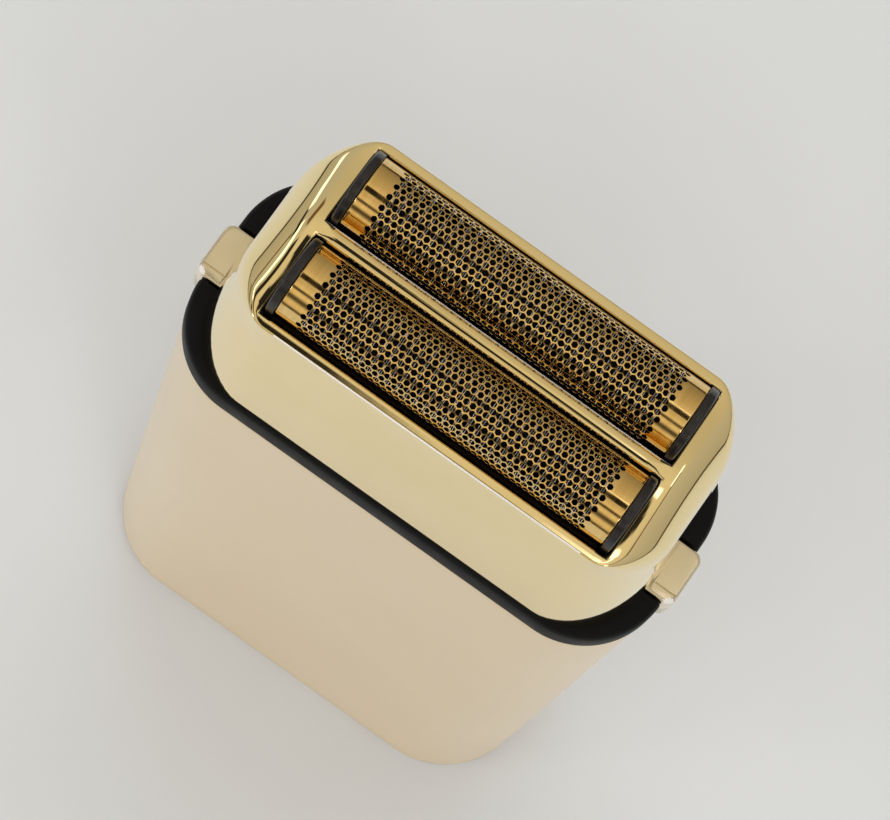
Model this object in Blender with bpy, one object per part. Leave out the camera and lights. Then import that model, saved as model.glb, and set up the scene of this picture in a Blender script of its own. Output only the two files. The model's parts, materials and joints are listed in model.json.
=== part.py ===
"""Dual-foil shaver: a gold metal body, a black collar with two release buttons, and a lift-off
head that carries two floating foils over two oscillating cutters.

Frame: millimetres in the constants, metres in the meshes. The shaver stands on its base at z = 0,
+X runs along the foils, -Y is the front with the power button, +Z is up.
"""
import math

import bmesh
import bpy
from mathutils import Matrix, Vector

MM = 0.001

# ---- driving dimensions, millimetres ----------------------------------------------------------
GAP = 0.3                      # clearance between pieces that touch or run past each other
CORNER_STEPS = 7               # segments in each rounded corner

# body: (z, width, depth, corner radius) from the base up
BODY_SECTIONS = (
    (4.3, 63.4, 27.6, 12.0),
    (36.0, 64.0, 28.4, 11.6),
    (72.0, 64.6, 29.1, 11.0),
    (107.7, 65.1, 29.7, 10.4),
)
BODY_WALL = 1.6
BASE_SECTIONS = (
    (0.0, 59.6, 23.8, 10.4),
    (0.6, 61.4, 25.6, 11.2),
    (1.8, 62.8, 27.0, 11.8),
    (4.0, 63.4, 27.6, 12.0),
)

# collar between the body and the head
COLLAR_SECTIONS = (
    (108.0, 65.2, 29.8, 10.4),
    (108.8, 65.4, 30.0, 10.5),
    (112.2, 65.4, 30.0, 10.5),
    (113.0, 64.6, 29.2, 10.1),
)
COLLAR_TOP = 113.0
COLLAR_OPENING = (47.0, 18.4)

# head cap: (z, width, depth, corner radius, share of the crown)
HEAD_SECTIONS = (
    (113.3, 59.8, 29.0, 8.6, 0.0),
    (121.0, 59.7, 28.4, 8.5, 0.0),
    (131.0, 59.2, 27.4, 8.0, 0.05),
    (135.5, 58.2, 26.9, 6.8, 0.2),
    (138.2, 56.2, 26.4, 5.2, 0.5),
    (140.0, 53.0, 26.1, 3.4, 0.85),
    (140.8, 49.6, 25.8, 1.9, 1.0),
)
HEAD_WALL = 1.1
HEAD_CROWN = 1.4               # the bar between the foils stands this much above the long edges
WINDOW_X = 46.6
WINDOW_INNER_Y = 1.0
WINDOW_OUTER_Y = 11.6

# foils and cutters
FOIL_Y = 6.2                   # each foil's axis, in front of and behind the middle
FOIL_Z = 141.3
FOIL_R = 4.75
FOIL_THICKNESS = 0.15
FOIL_X = 44.0
FOIL_LEG_Z = 136.5
FOIL_FLOAT = 1.0
END_CAP_X = (22.3, 23.0)
END_CAP_R = 5.0
CASSETTE_Z = (135.5, 138.5)
CASSETTE_INNER = (44.8, 9.9)
CASSETTE_OUTER = (47.6, 10.8)
BLADE_R = 4.35
BLADE_ROOT_R = 3.2
BLADE_PITCH = 2.475
BLADE_COUNT = 17
BLADE_Z = 138.5
CARRIER_Z = (134.0, 138.2)
CARRIER_SIZE = (39.0, 7.4)
SPRING_Z = (128.6, 133.6)
SPRING_R = 2.9
SPRING_WIRE_R = 0.3
SPRING_TURNS = 4

# drive
OSCILLATION = 1.2              # half the cutters' stroke, which is the crank pin's offset
MOTOR_R = 10.0
MOTOR_Z = (76.5, 101.5)
BRACKET_Z = (101.8, 103.4)
CAM_Z = (105.3, 108.3)
PIN_TOP = 111.2
FORK_Z = (109.0, 112.6)
STEM_Z = (112.9, 126.0)
BRIDGE_Z = (126.0, 128.2)
POST_TOP = 132.3

# deck that closes the housing under the head
DECK_Z = (113.3, 115.3)
DECK_SIZE = (46.4, 24.8)
DECK_PLUG = (46.4, 17.8)
DECK_RIM_TOP = 119.0
DECK_SCREW_AT = (19.0, 10.9)

# inside the body
BATTERY_R = 9.0
BATTERY_Y = 2.6
BATTERY_Z = (14.0, 64.0)
PLATE_Y = (-8.7, -7.3)
BOARD_Y = (-10.2, -9.0)
BOARD_X = 38.0
BOARD_Z = (20.0, 74.0)
BOARD_SCREW_AT = (15.5, 25.0)
JACK_Z = (4.4, 12.6)
JACK_BORE_R = 3.2
JACK_HOLE_R = 4.2
BASE_SCREW_X = 22.0

# controls
BUTTON_Z = 62.0
BUTTON_R = 5.5
RING_R = (5.8, 7.0)
BUTTON_FACE_Y = -15.0
LENS_Z = 46.0
RELEASE_X = (29.9, 33.8)
RELEASE_Y = 4.5
RELEASE_Z = (106.5, 113.0)
RELEASE_TRAVEL = 1.5
POCKET_X = 28.0

# colours (r, g, b), roughness, metallic
MATERIALS = {
    "gold_head": ((0.86, 0.70, 0.42), 0.12, 1.0),
    "gold_body": ((0.80, 0.68, 0.48), 0.28, 1.0),
    "gold_trim": ((0.84, 0.72, 0.50), 0.16, 1.0),
    "gold_foil": ((0.72, 0.50, 0.20), 0.20, 1.0),
    "black_plastic": ((0.02, 0.02, 0.022), 0.30, 0.0),
    "dark_plastic": ((0.05, 0.05, 0.055), 0.55, 0.0),
    "steel": ((0.62, 0.63, 0.64), 0.25, 1.0),
    "zinc": ((0.50, 0.51, 0.52), 0.40, 1.0),
    "nickel": ((0.70, 0.68, 0.62), 0.30, 1.0),
    "battery_wrap": ((0.10, 0.25, 0.14), 0.45, 0.0),
    "board_green": ((0.02, 0.16, 0.07), 0.50, 0.0),
    "rubber": ((0.03, 0.03, 0.03), 0.80, 0.0),
    "lens": ((0.85, 0.88, 0.90), 0.20, 0.0),
}


# ---- scene and object helpers -----------------------------------------------------------------
def clear_scene():
    for obj in list(bpy.data.objects):
        bpy.data.objects.remove(obj, do_unlink=True)


def material(slot):
    """The Principled material of one slot, made once."""
    found = bpy.data.materials.get(slot)
    if found:
        return found
    color, roughness, metallic = MATERIALS[slot]
    made = bpy.data.materials.new(slot)
    made.use_nodes = True
    shader = made.node_tree.nodes["Principled BSDF"]
    shader.inputs["Base Color"].default_value = (*color, 1.0)
    shader.inputs["Roughness"].default_value = roughness
    shader.inputs["Metallic"].default_value = metallic
    made.diffuse_color = (*color, 1.0)
    return made


def new_object(name, verts, faces):
    """An object from points in millimetres."""
    mesh = bpy.data.meshes.new(name)
    mesh.from_pydata([(x * MM, y * MM, z * MM) for x, y, z in verts], [], faces)
    mesh.update()
    obj = bpy.data.objects.new(name, mesh)
    bpy.context.scene.collection.objects.link(obj)
    return obj


def combine(target, tool, operation):
    """Apply a Boolean to the target and remove the tool."""
    modifier = target.modifiers.new(operation, "BOOLEAN")
    modifier.operation = operation
    modifier.solver = "EXACT"
    modifier.object = tool
    depsgraph = bpy.context.evaluated_depsgraph_get()
    result = bpy.data.meshes.new_from_object(target.evaluated_get(depsgraph))
    target.modifiers.clear()
    target.data = result
    bpy.data.objects.remove(tool, do_unlink=True)
    return target


def cut(target, *tools):
    for tool in tools:
        combine(target, tool, "DIFFERENCE")
    return target


def join(target, *tools):
    for tool in tools:
        combine(target, tool, "UNION")
    return target


def finish(obj, slot, parent=None, smooth_angle=32.0):
    """Give a piece its material, its shading and, for a moving piece, its parent empty."""
    obj.data.materials.clear()
    obj.data.materials.append(material(slot))
    obj.data.shade_smooth()
    obj.data.set_sharp_from_angle(angle=math.radians(smooth_angle))
    if parent:
        obj.data.transform(Matrix.Translation(-parent.location))
        obj.parent = parent
    return obj


def joint_empty(name, x, y, z):
    """An empty on a joint's axis, which its moving pieces are parented to."""
    empty = bpy.data.objects.new(name, None)
    empty.empty_display_size = 4 * MM
    empty.location = Vector((x, y, z)) * MM
    bpy.context.scene.collection.objects.link(empty)
    return empty


# ---- shape helpers, all in millimetres --------------------------------------------------------
def rounded_outline(width, depth, radius, steps=CORNER_STEPS):
    """Counter-clockwise rounded rectangle about the origin."""
    radius = min(radius, width / 2 - 0.01, depth / 2 - 0.01)
    points = []
    corners = ((1, 1, 0), (-1, 1, 90), (-1, -1, 180), (1, -1, 270))
    for side_x, side_y, start in corners:
        center_x = side_x * (width / 2 - radius)
        center_y = side_y * (depth / 2 - radius)
        for step in range(steps + 1):
            angle = math.radians(start + 90 * step / steps)
            points.append((center_x + radius * math.cos(angle), center_y + radius * math.sin(angle)))
    return points


def ring_solid(name, rings):
    """A closed solid through rings of equal length, with flat ends."""
    count = len(rings[0])
    verts = [point for ring in rings for point in ring]
    faces = []
    for level in range(len(rings) - 1):
        low = level * count
        high = low + count
        for i in range(count):
            j = (i + 1) % count
            faces.append((low + i, low + j, high + j, high + i))
    faces.append(tuple(reversed(range(count))))
    faces.append(tuple(range(len(verts) - count, len(verts))))
    return new_object(name, verts, faces)


def loft(name, sections, grow=0.0, steps=CORNER_STEPS):
    """A solid through rounded rectangles, each grown outward by `grow`."""
    rings = []
    for z, width, depth, radius in sections:
        outline = rounded_outline(width + 2 * grow, depth + 2 * grow, radius + grow, steps)
        rings.append([(x, y, z) for x, y in outline])
    return ring_solid(name, rings)


def slab(name, width, depth, radius, z_low, z_high, steps=4, at=(0.0, 0.0)):
    """A flat plate with rounded corners."""
    outline = rounded_outline(width, depth, radius, steps)
    rings = [[(x + at[0], y + at[1], z) for x, y in outline] for z in (z_low, z_high)]
    return ring_solid(name, rings)


def box(name, low, high):
    rings = []
    for z in (low[2], high[2]):
        rings.append([(low[0], low[1], z), (high[0], low[1], z), (high[0], high[1], z), (low[0], high[1], z)])
    return ring_solid(name, rings)


def turned(name, profile, axis="Z", center=(0.0, 0.0, 0.0), segments=16):
    """A solid of revolution. The profile lists (radius, height) from the low end to the high end."""
    rings = []
    for radius, height in profile:
        ring = []
        for i in range(segments):
            angle = 2 * math.pi * i / segments
            a = radius * math.cos(angle)
            b = radius * math.sin(angle)
            local = {"Z": (a, b, height), "Y": (b, height, a), "X": (height, a, b)}[axis]
            ring.append(tuple(local[k] + center[k] for k in range(3)))
        rings.append(ring)
    return ring_solid(name, rings)


def rod(name, radius, low, high, axis="Z", center=(0.0, 0.0, 0.0), segments=16):
    return turned(name, ((radius, low), (radius, high)), axis, center, segments)


def extrude_x(name, outline, x_low, x_high):
    """A solid from a (y, z) outline, counter-clockwise seen from +X, run along X."""
    rings = [[(x, y, z) for y, z in outline] for x in (x_low, x_high)]
    return ring_solid(name, rings)


def extrude_y(name, outline, y_low, y_high):
    """A solid from an (x, z) outline, clockwise seen from +Y, run along Y."""
    rings = [[(x, y, z) for x, z in outline] for y in (y_low, y_high)]
    return ring_solid(name, rings)


def arch_outline(center_y, center_z, radius, bottom_z, steps):
    """A (y, z) outline: half a circle on top of straight sides."""
    points = [(center_y - radius, bottom_z), (center_y + radius, bottom_z)]
    for step in range(steps + 1):
        angle = math.pi * step / steps
        points.append((center_y + radius * math.cos(angle), center_z + radius * math.sin(angle)))
    return points


def screw(name, head_r, shank_r, under_head, head_height, length, axis="Z", center=(0, 0, 0), up=1):
    """A pan-head screw with a cross recess. Its head points along `up` on the axis."""
    tip = under_head - up * length
    face = under_head + up * head_height
    profile = [
        (shank_r * 0.4, tip),
        (shank_r, tip + up * shank_r),
        (shank_r, under_head),
        (head_r, under_head),
        (head_r, face - up * head_height * 0.4),
        (head_r * 0.75, face),
    ]
    if up < 0:
        profile.reverse()
    body = turned(name, profile, axis, center, 12)
    reach = head_r * 0.6
    blade = head_r * 0.12
    low_cut, high_cut = sorted((face - up * head_height * 0.5, face + up * 0.5))
    for wide, narrow in ((reach, blade), (blade, reach)):
        low = {"Z": (-wide, -narrow, low_cut), "Y": (-wide, low_cut, -narrow)}[axis]
        high = {"Z": (wide, narrow, high_cut), "Y": (wide, high_cut, narrow)}[axis]
        low = [low[k] + center[k] for k in range(3)]
        high = [high[k] + center[k] for k in range(3)]
        cut(body, box("recess", low, high))
    return body


# ---- housing ----------------------------------------------------------------------------------
def tube_of_body(name, is_front):
    """One half of the body's shell, split on the plane y = 0."""
    shell = loft(name, BODY_SECTIONS)
    inner = [(BODY_SECTIONS[0][0] - 2, *BODY_SECTIONS[0][1:])]
    inner += list(BODY_SECTIONS[1:-1])
    inner += [(BODY_SECTIONS[-1][0] + 2, *BODY_SECTIONS[-1][1:])]
    cut(shell, loft("inner", inner, grow=-BODY_WALL))
    if is_front:
        cut(shell, box("rear_half", (-40, -GAP / 2, 0), (40, 40, 120)))
        cut(shell, rod("button_hole", RING_R[1] + GAP, -20, -10, "Y", (0, 0, BUTTON_Z), 32))
        cut(shell, rod("lens_hole", 1.3, -20, -10, "Y", (0, 0, LENS_Z)))
    else:
        cut(shell, box("front_half", (-40, -40, 0), (40, GAP / 2, 120)))
    for side in (-1, 1):
        low_x, high_x = sorted((side * (POCKET_X + 0.2), side * 40))
        notch = (low_x, -RELEASE_Y - 0.4, RELEASE_Z[0] - 0.4)
        cut(shell, box("release_notch", notch, (high_x, RELEASE_Y + 0.4, 120)))
    return finish(shell, "gold_body")


def make_base():
    cap = loft("base_cap", BASE_SECTIONS)
    top = BASE_SECTIONS[-1]
    clearance = BODY_WALL + 0.4
    join(cap, slab("rim", top[1] - 2 * clearance, top[2] - 2 * clearance, 10.0, 3.0, 7.0, 7))
    cut(cap, slab("rim_inside", top[1] - 2 * clearance - 2.4, top[2] - 2 * clearance - 2.4, 8.8, 2.4, 8.0, 7))
    cut(cap, rod("jack_hole", JACK_HOLE_R, -1, 8, segments=24))
    for side in (-1, 1):
        center = (side * BASE_SCREW_X, 0, 0)
        cut(cap, rod("head_hole", 2.9, -1, 1.6, center=center))
        cut(cap, rod("shank_hole", 1.5, -1, 8, center=center))
    finish(cap, "gold_body")
    for side, word in ((-1, "left"), (1, "right")):
        center = (side * BASE_SCREW_X, 0, 0)
        piece = screw("base_screw_" + word, 2.5, 1.2, 1.3, 0.9, 12.0, center=center, up=-1)
        finish(piece, "steel")


def make_collar():
    collar = loft("collar", COLLAR_SECTIONS)
    cut(collar, slab("opening", *COLLAR_OPENING, 3.0, 100, 120))
    for side in (-1, 1):
        pocket = sorted((side * POCKET_X, side * 40))
        tunnel = sorted((side * 23.0, side * 30.0))
        post_slot = sorted((side * 23.0, side * 26.5))
        cut(collar, box("pocket", (pocket[0], -RELEASE_Y - 0.4, 100), (pocket[1], RELEASE_Y + 0.4, 120)))
        cut(collar, box("tunnel", (tunnel[0], -3.4, 108.6), (tunnel[1], 3.4, 111.8)))
        cut(collar, box("post_slot", (post_slot[0], -3.4, 108.6), (post_slot[1], 3.4, 120)))
    for x, y in screw_corners(DECK_SCREW_AT):
        cut(collar, rod("screw_hole", 1.3, 108.9, 120, center=(x, y, 0), segments=12))
    return finish(collar, "black_plastic")


def screw_corners(at):
    return [(side_x * at[0], side_y * at[1]) for side_x in (-1, 1) for side_y in (-1, 1)]


def make_deck():
    """Deck plate with a guide rim above and a plug that fills the collar's opening."""
    deck = slab("neck_deck", *DECK_SIZE, 4.0, *DECK_Z, 5)
    join(deck, slab("plug", *DECK_PLUG, 2.6, 108.3, DECK_Z[0] + 1, 5))
    rim_depth = 19.0
    join(deck, slab("rim", DECK_SIZE[0] - 1, rim_depth, 3.5, DECK_Z[1] - 1, DECK_RIM_TOP, 5))
    cut(deck, slab("rim_inside", DECK_SIZE[0] - 3.4, rim_depth - 2.4, 2.6, DECK_Z[1], 125, 5))
    cut(deck, slab("fork_room", 16.4, 14.0, 1.5, 100, 113.2, 3))
    cut(deck, slab("stem_hole", 8.4, 5.4, 2.6, 100, 120, 5))
    for x, y in screw_corners(DECK_SCREW_AT):
        cut(deck, rod("screw_hole", 1.3, 100, 130, center=(x, y, 0), segments=12))
    finish(deck, "dark_plastic")
    for number, (x, y) in enumerate(screw_corners(DECK_SCREW_AT), 1):
        piece = screw(f"deck_screw_{number}", 1.4, 1.0, DECK_Z[1] + 0.1, 0.9, 5.6, center=(x, y, 0))
        finish(piece, "steel")
    seal = slab("drive_seal", 13.0, 10.0, 4.0, 115.6, 116.6, 5)
    join(seal, slab("lip", 9.6, 6.8, 3.2, 116.0, 118.0, 5))
    cut(seal, slab("stem_way", 7.4, 4.8, 2.3, 110, 130, 5))
    finish(seal, "rubber")


def make_chassis():
    """Inner frame: board plate, foot with two screw posts, and two arms that carry the motor."""
    chassis = box("chassis", (-25, PLATE_Y[0], 8), (25, PLATE_Y[1], 76))
    join(chassis, box("foot", (-25, PLATE_Y[0] + 0.05, 8.05), (25, 8, 10)))
    for side in (-1, 1):
        post = (side * BASE_SCREW_X, 0, 0)
        join(chassis, rod("post", 3.2, 7.6, 18.0, center=post))
        cut(chassis, rod("pilot", 1.5, 0, 15.0, center=post, segments=12))
        arm = sorted((side * 12.0, side * 16.0))
        join(chassis, box("arm", (arm[0], PLATE_Y[0] + 0.05, 66), (arm[1], 8, 101.5)))
        cut(chassis, rod("arm_pilot", 1.3, 92, 110, center=(side * 14, 0, 0), segments=12))
        board_screw = (side * BOARD_SCREW_AT[0], 0, BOARD_SCREW_AT[1])
        cut(chassis, rod("board_pilot", 1.3, -12, -5, "Y", board_screw, 12))
    cut(chassis, box("jack_room", (-5, -5, 6), (5, 5, 12)))
    finish(chassis, "dark_plastic")


def make_battery():
    low, high = BATTERY_Z
    profile = (
        (BATTERY_R - 0.6, low),
        (BATTERY_R, low + 0.6),
        (BATTERY_R, high - 0.9),
        (BATTERY_R - 0.9, high - 0.1),
        (2.8, high),
        (2.8, high + 0.5),
    )
    finish(turned("battery_cell", profile, center=(0, BATTERY_Y, 0), segments=28), "battery_wrap")
    leg_y = (BATTERY_Y - BATTERY_R - 0.6, BATTERY_Y - BATTERY_R - 0.3)
    for name, z_low, z_high, leg in (
        ("battery_tab_bottom", low - 0.6, low - 0.3, (low - 0.6, low + 6)),
        ("battery_tab_top", high + 0.8, high + 1.1, (high - 6, high + 1.1)),
    ):
        tab = box(name, (-3, leg_y[0], z_low), (3, BATTERY_Y + 3, z_high))
        join(tab, box("leg", (-2.9, leg_y[0] + 0.02, leg[0] + 0.02), (2.9, leg_y[1], leg[1] - 0.02)))
        finish(tab, "nickel")


def make_board():
    """Control board in front of the chassis plate, its switch, status lens, jack and screws."""
    width = BOARD_X / 2
    board = box("circuit_board", (-width, BOARD_Y[0], BOARD_Z[0]), (width, BOARD_Y[1], BOARD_Z[1]))
    for side in (-1, 1):
        center = (side * BOARD_SCREW_AT[0], 0, BOARD_SCREW_AT[1])
        cut(board, rod("hole", 1.3, -15, -5, "Y", center, 12))
    chips = ((-11, 32, 5.5, 3.5, 1.0), (9, 34, 4.0, 4.0, 1.4), (0, 52, 3.0, 2.2, 1.1), (12, 66, 3.2, 3.0, 2.0))
    for x, z, half_x, half_z, height in chips:
        low = (x - half_x, BOARD_Y[0] - height, z - half_z)
        join(board, box("chip", low, (x + half_x, BOARD_Y[0] + 0.4, z + half_z)))
    finish(board, "board_green")
    for side, word in ((-1, "left"), (1, "right")):
        center = (side * BOARD_SCREW_AT[0], 0, BOARD_SCREW_AT[1])
        piece = screw("board_screw_" + word, 2.0, 1.0, -10.5, 1.0, 3.4, "Y", center, up=-1)
        finish(piece, "steel")
    switch = box("power_switch", (-3, -11.9, BUTTON_Z - 3), (3, -10.5, BUTTON_Z + 3))
    join(switch, rod("plunger", 1.6, -12.4, -11.5, "Y", (0, 0, BUTTON_Z), 16))
    finish(switch, "dark_plastic")
    lens_profile = ((1.0, -14.5), (1.0, -12.0), (1.5, -11.9), (1.5, -10.5))
    finish(turned("status_lens", lens_profile, "Y", (0, 0, LENS_Z), 16), "lens")
    jack = box("charge_jack", (-4.6, -4.6, JACK_Z[0]), (4.6, 4.6, JACK_Z[1]))
    cut(jack, rod("bore", JACK_BORE_R, 0, 11.4, segments=24))
    join(jack, rod("contact", 0.9, 9.0, 12.0, segments=12))
    finish(jack, "black_plastic")


def make_motor(rotor, bridge):
    """Motor can and its bracket on the chassis, shaft and cam on the rotor, fork on the bridge."""
    low, high = MOTOR_Z
    profile = ((3.0, low - 1.2), (3.0, low), (MOTOR_R - 0.8, low), (MOTOR_R, low + 0.8),
               (MOTOR_R, high - 0.8), (MOTOR_R - 0.8, high), (3.0, high), (3.0, high + 1.4))
    can = turned("motor_can", profile, segments=28)
    cut(can, rod("shaft_bore", 1.3, 90, 110, segments=12))
    bracket = slab("motor_bracket", 35.0, 18.0, 3.0, *BRACKET_Z, 4)
    cut(bracket, rod("boss_hole", 3.4, 95, 110, segments=24))
    finish_list = []
    for side, word in ((-1, "front"), (1, "rear")):
        center = (0, side * 6.0, 0)
        cut(can, rod("tap", 1.3, 97.5, 110, center=center, segments=12))
        cut(bracket, rod("hole", 1.3, 95, 110, center=center, segments=12))
        finish_list.append(screw("motor_screw_" + word, 1.8, 1.0, BRACKET_Z[1] + 0.1, 1.0, 5.4, center=center))
    for side, word in ((-1, "left"), (1, "right")):
        center = (side * 14.0, 0, 0)
        cut(bracket, rod("hole", 1.3, 95, 110, center=center, segments=12))
        finish_list.append(screw("bracket_screw_" + word, 1.9, 1.0, BRACKET_Z[1] + 0.1, 1.1, 9.0, center=center))
    for piece in finish_list:
        finish(piece, "steel")
    finish(can, "zinc")
    finish(bracket, "zinc")
    finish(rod("motor_shaft", 1.0, 92.0, CAM_Z[1] - 1.3, segments=12), "steel", rotor)
    cam = rod("drive_cam", 4.0, *CAM_Z, segments=24)
    cut(cam, rod("bore", 1.3, 100, CAM_Z[1] - 1.0, segments=12))
    join(cam, rod("crank_pin", 1.0, CAM_Z[1] - 0.6, PIN_TOP, center=(0, OSCILLATION, 0), segments=12))
    finish(cam, "dark_plastic", rotor)
    fork = slab("drive_fork", 11.0, 11.0, 1.5, *FORK_Z, 3)
    cut(fork, rod("pin_room", 3.8, 100, 111.6, segments=24))
    finish(fork, "dark_plastic", bridge)


# ---- cutters ----------------------------------------------------------------------------------
def make_bridge(bridge):
    """Oscillating bridge: a stem through the deck, a cross plate and one post for each cutter."""
    plate = slab("oscillating_bridge", 28.0, 2 * (FOIL_Y + 3.6), 3.0, *BRIDGE_Z, 4)
    join(plate, slab("stem", 4.0, 4.0, 1.2, STEM_Z[0], STEM_Z[1] + 1, 3))
    for side in (-1, 1):
        join(plate, rod("post", 2.0, BRIDGE_Z[1] - 1, POST_TOP, center=(0, side * FOIL_Y, 0)))
        for end in (-1, 1):
            cut(plate, slab("window", 7.0, 6.0, 1.5, 115, 130, 3, at=(end * 8.0, side * FOIL_Y)))
    finish(plate, "dark_plastic", bridge)


def coil(name, center_y):
    """A compression spring as one closed swept tube with flat ends."""
    around = 6
    per_turn = 12
    rings = []
    low = SPRING_Z[0] + SPRING_WIRE_R
    high = SPRING_Z[1] - SPRING_WIRE_R
    total = SPRING_TURNS * per_turn
    for step in range(total + 1):
        angle = 2 * math.pi * step / per_turn
        height = low + (high - low) * step / total
        ring = []
        for i in range(around):
            turn = -2 * math.pi * i / around
            reach = SPRING_R + SPRING_WIRE_R * math.cos(turn)
            z = height + SPRING_WIRE_R * math.sin(turn)
            ring.append((reach * math.cos(angle), center_y + reach * math.sin(angle), z))
        rings.append(ring)
    return ring_solid(name, rings)


def blade_pack(name, center_y):
    """Arched cutter blades on one root, in steps of tip and root radius along X."""
    steps = 8
    thickness = 0.5
    half = (BLADE_COUNT - 1) * BLADE_PITCH / 2
    rings = []
    for number in range(BLADE_COUNT):
        x = -half + number * BLADE_PITCH
        stations = [(x - thickness / 2, BLADE_R), (x + thickness / 2, BLADE_R)]
        if number > 0:
            stations.insert(0, (x - thickness / 2 - 0.02, BLADE_ROOT_R))
        if number < BLADE_COUNT - 1:
            stations.append((x + thickness / 2 + 0.02, BLADE_ROOT_R))
        for at_x, radius in stations:
            outline = arch_outline(center_y, FOIL_Z, radius, BLADE_Z, steps)
            rings.append([(at_x, y, z) for y, z in outline])
    return ring_solid(name, rings)


def make_cutter(word, side, parent, bridge):
    center_y = side * FOIL_Y
    half_x = CARRIER_SIZE[0] / 2
    half_y = CARRIER_SIZE[1] / 2
    carrier = slab(f"{word}_cutter_carrier", *CARRIER_SIZE, 1.0, *CARRIER_Z, 3, at=(0, center_y))
    for end in (-1, 1):
        at = (end * half_x * 0.55, center_y)
        cut(carrier, slab("relief", half_x * 0.6, half_y * 1.1, 0.8, 120, 136.5, 2, at=at))
    finish(carrier, "dark_plastic", parent)
    finish(blade_pack(f"{word}_blades", center_y), "steel", parent, 20.0)
    finish(coil(f"cutter_spring_{word}", center_y), "nickel", bridge)


# ---- head -------------------------------------------------------------------------------------
def crown_height(y, depth):
    """How far the crowned top stands above its long edges at a distance y from the middle."""
    share = min(abs(y) / (depth / 2), 1.0)
    return HEAD_CROWN * (1.0 - share * share)


def head_block(name, grow, drop, z_start):
    """The head's crowned, pillow-ended block. `grow` moves its walls and `drop` lowers its top."""
    rings = []
    for number, (z, width, depth, radius, share) in enumerate(HEAD_SECTIONS):
        level = z_start if number == 0 else z - drop * min(1.0, share + 0.3)
        outline = rounded_outline(width + 2 * grow, depth + 2 * grow, radius + grow)
        rings.append([(x, y, level + share * crown_height(y, depth)) for x, y in outline])
    count = len(rings[0])
    verts = [point for ring in rings for point in ring]
    faces = []
    for level in range(len(rings) - 1):
        for i in range(count):
            j = (i + 1) % count
            faces.append((level * count + i, level * count + j, (level + 1) * count + j, (level + 1) * count + i))
    faces.append(tuple(reversed(range(count))))
    # the top: strips across the depth between mirrored outline points, following the crown
    first = (len(rings) - 1) * count
    half = count // 2
    across = 6
    depth = HEAD_SECTIONS[-1][2]
    columns = []
    for i in range(half):
        back = first + i
        front = first + count - 1 - i
        x, y_back, z_back = verts[back]
        y_front = verts[front][1]
        column = [back]
        for step in range(1, across):
            y = y_back + (y_front - y_back) * step / across
            edge = z_back - crown_height(y_back, depth)
            verts.append((x, y, edge + crown_height(y, depth)))
            column.append(len(verts) - 1)
        column.append(front)
        columns.append(column)
    for right, left in zip(columns, columns[1:]):
        for step in range(across):
            faces.append((right[step], left[step], left[step + 1], right[step + 1]))
    for column, flip in ((columns[0], False), (columns[-1], True)):
        faces.append(tuple(reversed(column)) if flip else tuple(column))
    return new_object(name, verts, faces)


def make_head(head):
    cap = head_block("head_cap", 0.0, 0.0, HEAD_SECTIONS[0][0])
    cut(cap, head_block("inside", -HEAD_WALL, HEAD_WALL, HEAD_SECTIONS[0][0] - 2))
    window_depth = WINDOW_OUTER_Y - WINDOW_INNER_Y
    middle = (WINDOW_OUTER_Y + WINDOW_INNER_Y) / 2
    for side in (-1, 1):
        cut(cap, slab("window", WINDOW_X, window_depth, 0.4, 125, 150, 2, at=(0, side * middle)))
    finish(cap, "gold_head", head)
    liner = loft("head_liner", ((128.0, 55.6, 24.3, 7.0), (134.2, 54.4, 23.7, 6.6)))
    cut(liner, slab("opening", 46.6, 22.2, 3.0, 115, 140, 5))
    finish(liner, "black_plastic", head)
    for side, word in ((-1, "left"), (1, "right")):
        near, far = sorted((side * 27.3, side * 28.1))
        catch = box(f"latch_catch_{word}", (near, -3.2, 115.5), (far, 3.2, 117.2))
        rib_low, rib_high = sorted((side * 27.5, side * 28.1))
        join(catch, box("rib", (rib_low, -2.4, 117.0), (rib_high, 2.4, 121.5)))
        finish(catch, "dark_plastic", head)


def make_foil(word, side, parent):
    """One floating foil: cassette frame, foil sheet and an arched black cap at each end."""
    center_y = side * FOIL_Y
    cassette = slab(f"{word}_cassette", *CASSETTE_OUTER, 0.8, *CASSETTE_Z, 2, at=(0, center_y))
    cut(cassette, slab("opening", *CASSETTE_INNER, 0.4, 120, 140, 2, at=(0, center_y)))
    finish(cassette, "black_plastic", parent)
    steps = 20
    outer = arch_outline(center_y, FOIL_Z, FOIL_R, FOIL_LEG_Z, steps)
    inner = arch_outline(center_y, FOIL_Z, FOIL_R - FOIL_THICKNESS, FOIL_LEG_Z, steps)
    outline = outer[1:] + [outer[0]] + [inner[0]] + list(reversed(inner[1:]))
    finish(extrude_x(f"{word}_foil", outline, -FOIL_X / 2, FOIL_X / 2), "gold_foil", parent)
    for end, end_word in ((-1, "left"), (1, "right")):
        near, far = sorted((end * END_CAP_X[0], end * END_CAP_X[1]))
        arch = arch_outline(center_y, FOIL_Z, END_CAP_R, CASSETTE_Z[1] + GAP, 20)
        finish(extrude_x(f"{word}_end_cap_{end_word}", arch, near, far), "black_plastic", parent)


# ---- controls ---------------------------------------------------------------------------------
def make_power_button(button):
    ring = turned("power_ring", ((RING_R[1], -14.85), (RING_R[1], -12.0)), "Y", (0, 0, BUTTON_Z), 40)
    bevel_edges(ring, 0.2)
    cut(ring, rod("bore", RING_R[0], -18, -10, "Y", (0, 0, BUTTON_Z), 40))
    finish(ring, "gold_trim")
    profile = ((BUTTON_R - 0.5, BUTTON_FACE_Y), (BUTTON_R, BUTTON_FACE_Y + 0.4), (BUTTON_R, -13.8),
               (2.0, -13.8), (2.0, -13.5))
    finish(turned("power_button", profile, "Y", (0, 0, BUTTON_Z), 40), "gold_trim", button)


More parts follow.
